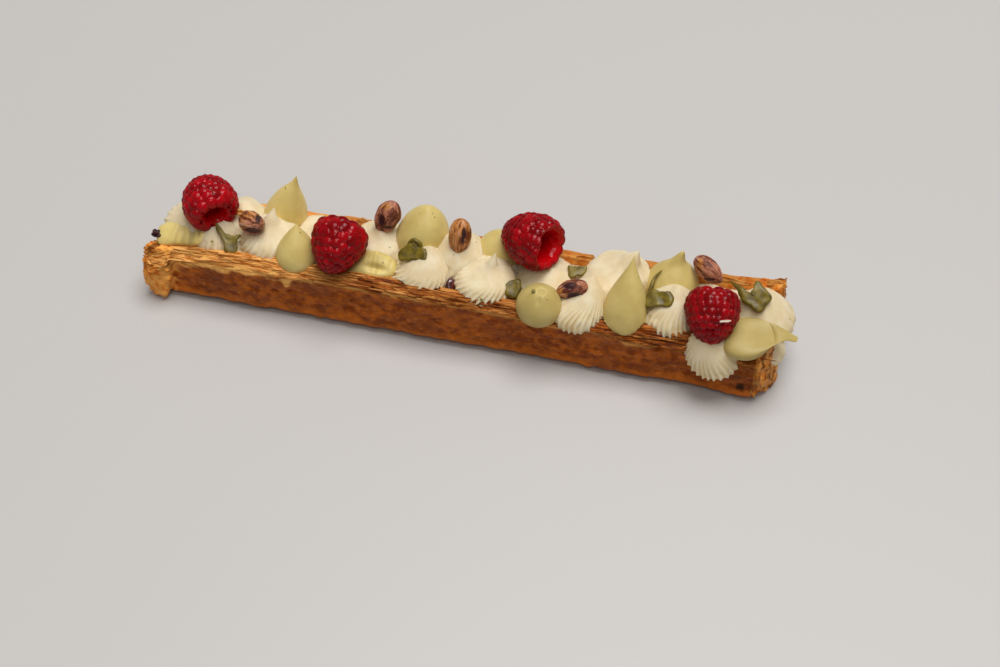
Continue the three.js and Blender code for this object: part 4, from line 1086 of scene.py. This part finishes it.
def pistachioKernel(name, node, spec, seed):
    # a blunt teardrop of revolution with short crooked wrinkles, a fold along one side and marks that are
    # places to the right of and above its middle, dented where the skin has sunk in
    around, along = 150, 110
    r, z = dropOutline(spec["width"] / 2, spec["length"], 0.3, along, 0.0)
    r[0] = 0
    u, share = np.meshgrid(np.linspace(0, fullTurn, around, endpoint=False), z / spec["length"])
    ring = np.stack([1.6 * np.cos(u), 1.6 * np.sin(u), share * 2.6 + seed * 2.7], -1)
    ring = ring + 0.35 * np.stack([noise(ring, 0.8, 145 + k) for k in range(3)], -1)
    wrinkle = crags(ring, (0.36, 0.36, 0.60), 150 + seed, 3)
    swell = noise(ring, 1.1, 160 + seed)
    across = r[:, None] * (1 + 0.05 * np.cos(2 * u) + 0.06 * wrinkle + 0.06 * swell)
    p = np.stack([across * np.cos(u), across * 0.9 * np.sin(u), z[:, None] - spec["length"] / 2 + 0 * u], -1)
    p = p @ turnedTo(spec["axis"]).T
    right, up, back = p @ sight[0], p @ sight[1], p @ sight[2]
    facing = ramp(back, 0, 1.5)
    masks = {}
    for kind in ("dark", "tan"):
        masks[kind] = np.zeros_like(u)
        for x, y, wide, tall in spec[kind]:
            away = ((right - x) / wide) ** 2 + ((up - y) / tall) ** 2
            masks[kind] = np.maximum(masks[kind], np.exp(-away ** 1.5) * facing)
    keel = spec.get("keel", 0) * np.exp(-((up + 0.3 * right + 1.9) / 0.5) ** 2) * facing
    sunk = ramp(masks["dark"] + 0.30 * wrinkle, 0.35, 0.70)
    p = p * (1 - 0.13 * sunk + 0.09 * keel)[..., None] + np.array(spec["at"])
    p[0], p[-1] = p[0].mean(0), p[-1].mean(0)
    warm = np.clip(spec["warm"] + 0.2 * swell + 0.6 * masks["tan"], 0, 1)
    fields = {"sunk": sunk, "warm": warm, "wrinkle": np.clip(0.5 + 0.5 * wrinkle + keel, 0, 1)}
    piece = surface(name, p, finishes["kernel"], fields, "nut_skin")
    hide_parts(node)


for k, spec in enumerate(pistachios, 1):
    pistachioKernel(f"pistachio_kernel_{k}", f"pistachio_{k}", spec, k)
print("pistachios made:", len(pistachios))


# pistachio paste

dabs = (
    {"at": (-94.6, -9.1, 26.9), "facing": (0.15, -0.5, 0.85), "thick": 1.5, "core": 4.4,
     "outline": ((22, 3.2), (36.5, 5.4), (60, 3.3), (79, 3.1), (114, 4.0), (126, 10.2), (135, 8.0), (146, 4.6),
                 (165, 2.8), (193, 2.2), (245, 4.0), (275, 4.2), (302, 4.9), (325, 3.8), (343, 2.7))},
    {"at": (-20.7, -1.9, 31.4), "facing": (-0.15, -0.5, 0.85), "thick": 2.0, "core": 5.0,
     "outline": ((15, 5.7), (37, 4.0), (72, 2.7), (105, 4.6), (135, 4.2), (184, 6.0), (202, 6.1), (225, 3.8),
                 (270, 2.5), (315, 3.6), (335, 6.6), (352, 6.2)),
     "stroke": ((-23.6, -0.2, 31.0), (-23.2, 1.8, 33.4), (-21.3, 2.4, 34.8), (-19.1, 1.9, 34.0), (-18.3, 1.3, 32.6)), "wide": 1.0},
    {"at": (20.8, -7.1, 27.2), "facing": (0.1, -0.5, 0.86), "thick": 1.7, "core": 5.0,
     "outline": ((19, 3.7), (55, 4.7), (87, 3.5), (130, 3.2), (181, 4.1), (222, 3.8), (250, 3.7), (277, 4.2), (328, 3.2))},
    {"at": (43.7, 7.6, 27.3), "facing": (0.1, -0.45, 0.89), "thick": 1.2, "core": 4.5,
     "outline": ((23.6, 4.3), (55, 2.4), (90, 1.9), (125, 2.5), (151, 4.2), (180, 3.5), (217.6, 4.2), (270, 2.0),
                 (341, 3.2), (353, 3.7))},
    {"at": (78.3, -4.2, 33.2), "facing": (-0.15, -0.45, 0.88), "thick": 1.8, "core": 4.8,
     "outline": ((0, 5.4), (30, 5.0), (60, 3.3), (85, 2.9), (128, 4.6), (180, 5.5), (213, 6.3), (245, 3.4), (275, 3.0),
                 (335, 5.1)),
     "stroke": ((76.8, 8.7, 35.2), (75.1, 6.9, 33.6), (74.2, 4.6, 32.6), (74.0, 2.2, 31.9), (73.9, -0.6, 31.8), (74.6, -3.2, 32.4)),
     "wide": 1.1},
    {"at": (114.8, 3.2, 34.6), "facing": (-0.1, -0.46, 0.88), "thick": 2.2, "core": 6.0,
     "outline": ((7, 5.7), (35, 5.1), (57, 5.3), (87.6, 7.0), (112, 3.8), (137.6, 3.3), (150, 8.6), (162, 7.4),
                 (178, 6.2), (226, 4.2), (280, 5.5), (326, 4.4)),
     "stroke": ((103.6, 10.6, 33.6), (105.4, 8.9, 33.9), (107.4, 7.4, 34.2), (109.4, 6.2, 34.4)), "wide": 1.1},
)


def pasteDab(name, node, spec, seed):
    # a flat smear: its outline is a radius for each angle, cosine-blended between the given ones and seen
    # square to the line of sight; it is thickest near its rounded rim and sinks a little in the middle;
    # some dabs end in a drawn-out stroke
    around, out = 144, 26
    given = np.array(sorted(spec["outline"]), float)
    angles = np.concatenate([given[-1:, 0] - 360, given[:, 0], given[:1, 0] + 360])
    radii = np.concatenate([given[-1:, 1], given[:, 1], given[:1, 1]])
    theta = np.linspace(0, 360, around, endpoint=False)
    k = np.searchsorted(angles, theta, side="right") - 1
    t = (theta - angles[k]) / (angles[k + 1] - angles[k])
    radius = radii[k] + (radii[k + 1] - radii[k]) * (1 - np.cos(np.pi * t)) / 2
    rho = np.sin(np.linspace(0, np.pi / 2, out))[:, None]
    reach = rho * radius
    taper = 1 / (1 + (np.maximum(reach - spec["core"], 0) / spec["core"]) ** 2 * 2)
    turn = np.radians(theta)
    right, up, back = sight
    facing = np.array(spec["facing"]) / np.linalg.norm(spec["facing"])
    flat = reach[..., None] * (np.cos(turn)[:, None] * right + np.sin(turn)[:, None] * up)
    flat = flat - (flat @ facing / (back @ facing))[..., None] * back
    ripple = 1 + 0.3 * noise(flat, 3.0, 170 + seed)
    edge = np.sqrt(np.maximum(1 - rho ** 5, 0)) * (0.6 + 0.4 * rho ** 2)
    height = spec["thick"] * edge * taper * ripple
    middle = np.array(spec["at"])
    top = middle + flat + facing * height[..., None]
    low = middle + flat - facing * (0.8 * spec["thick"] * np.sqrt(np.maximum(1 - rho ** 2, 0)) * taper)[..., None]
    part = closedPart(np.concatenate([top, low[::-1][1:]]))
    parts = [part]
    if "stroke" in spec:
        share = np.linspace(0, 1, 40)
        spine = smoothLine(spec["stroke"], share)
        swelling = 0.12 + 0.88 * np.sin(np.pi * np.clip(share * 0.5 + 0.03, 0, 1))
        parts.append(taperedTube(spine, spec["wide"] * swelling, 20))
    points, faces, fields = joined(parts)
    piece = buildMesh(name, points, faces, finishes["paste"], fields, "paste")
    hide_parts(node)


for k, spec in enumerate(dabs, 1):
    pasteDab(f"paste_dab_{k}", f"pistachio_paste_{k}", spec, k)
print("paste dabs made:", len(dabs))


# specks, crumbs and scraps

scraps = {
    "specks": 70,
    "speckSize": (0.16, 0.34),
    "crumbs": (((10.0, -14.6, 26.6), 0.55), ((-101.6, -10.5, 27.5), 0.5), ((30.4, -13.8, 36.0), 0.75)),
    "jamBit": {"at": (-4.2, -7.6, 23.3), "size": (1.9, 2.8, 3.2)},
    "berryBit": {"at": (-125.6, -9.2, 24.6), "size": 1.35, "count": 7},
    "sliver": {"at": (104.6, -17.0, 42.2), "length": 4.6, "width": 0.9, "turn": (0.25, -0.1, 0.6)},
}


def lump(centre, size, seed, around=8):
    # a ball squashed and dented by noise
    a, u = np.meshgrid(np.linspace(0, np.pi, around - 2), np.linspace(0, fullTurn, around, endpoint=False), indexing="ij")
    ball = np.stack([np.sin(a) * np.cos(u), np.sin(a) * np.sin(u), 0.7 * np.cos(a)], -1)
    ball = ball * (1 + 0.3 * noise(ball * 1.3 + seed * 1.9, 1.0, 55))[..., None]
    ball[0], ball[-1] = ball[0].mean(0), ball[-1].mean(0)
    return closedPart(np.array(centre) + ball * size)


rng = np.random.default_rng(8)
tops = np.concatenate(creamTops)
chosen = tops[rng.integers(0, len(tops), scraps["specks"])]
made = [lump(at, rng.uniform(*scraps["speckSize"]), k) for k, at in enumerate(chosen)]
made += [lump(at, size, 90 + k, 14) for k, (at, size) in enumerate(scraps["crumbs"])]
buildMesh("nut_specks", *joined(made)[:2], finishes["nutCrumb"], slot="paste")
bit = scraps["jamBit"]
buildMesh("jam_between_creams", *lump(bit["at"], np.array(bit["size"]), 77, 40)[:2], finishes["jam"], slot="jam")
bit = scraps["berryBit"]
made = [lump(np.array(bit["at"]) + rng.normal(0, 0.75, 3) * (1, 1, 1.5), bit["size"] * rng.uniform(0.7, 1), 40 + k, 18) for k in range(bit["count"])]
buildMesh("berry_scrap", *joined(made)[:2], finishes["darkBerry"], slot="jam")
sliver = scraps["sliver"]
part = flakeSheet(sliver["at"], sliver["length"], sliver["width"], sliver["turn"], 0.3, 5, 0.3, 0)
buildMesh("pale_sliver", *part[:2], finishes["paleCrumb"], slot="pastry")
print("specks and scraps laid")


# floor, light and camera



def floorSheet():
    mesh = bpy.data.meshes.new("studio_floor")
    side = 2.5
    mesh.from_pydata([(-side, -side, 0), (side, -side, 0), (side, side, 0), (-side, side, 0)], [], [(0, 1, 2, 3)])
    floor = bpy.data.objects.new("studio_floor", mesh)
    bpy.context.collection.objects.link(floor)
    f = Finish("studio_floor", {"Roughness": 0.45})
    f.shader.inputs["Base Color"].default_value = (0.535, 0.512, 0.490, 1)
    mesh.materials.append(f.material)


def softLight(name, place, size, power, colour=(1, 1, 1)):
    light = bpy.data.lights.new(name, "AREA")
    light.shape, light.size, light.energy, light.color = "DISK", size, power, colour
    lamp = bpy.data.objects.new(name, light)
    lamp.location = place
    lamp.rotation_euler = (-lamp.location).to_track_quat("-Z", "Y").to_euler()
    bpy.context.collection.objects.link(lamp)


def setCamera():
    data = bpy.data.cameras.new("camera")
    data.lens, data.sensor_width, data.clip_start = studio["lens"], 36, 0.01
    camera = bpy.data.objects.new("camera", data)
    camera.matrix_world = Matrix.Translation([c * mm for c in studio["cameraAt"]]) @ cameraTurn.to_4x4()
    bpy.context.collection.objects.link(camera)
    bpy.context.scene.camera = camera


floorSheet()
softLight("window", (0.3, 0.55, 3.1), 2.3, 90)
softLight("fill", (0.3, -1.7, 3.3), 1.4, 20)
setCamera()
bpy.context.scene.view_settings.view_transform = "Standard"
world = bpy.data.worlds.new("studio")
bpy.context.scene.world = world
world.use_nodes = True
world.node_tree.nodes["Background"].inputs["Color"].default_value = (1, 0.99, 0.98, 1)
world.node_tree.nodes["Background"].inputs["Strength"].default_value = 0.20
print("studio set")
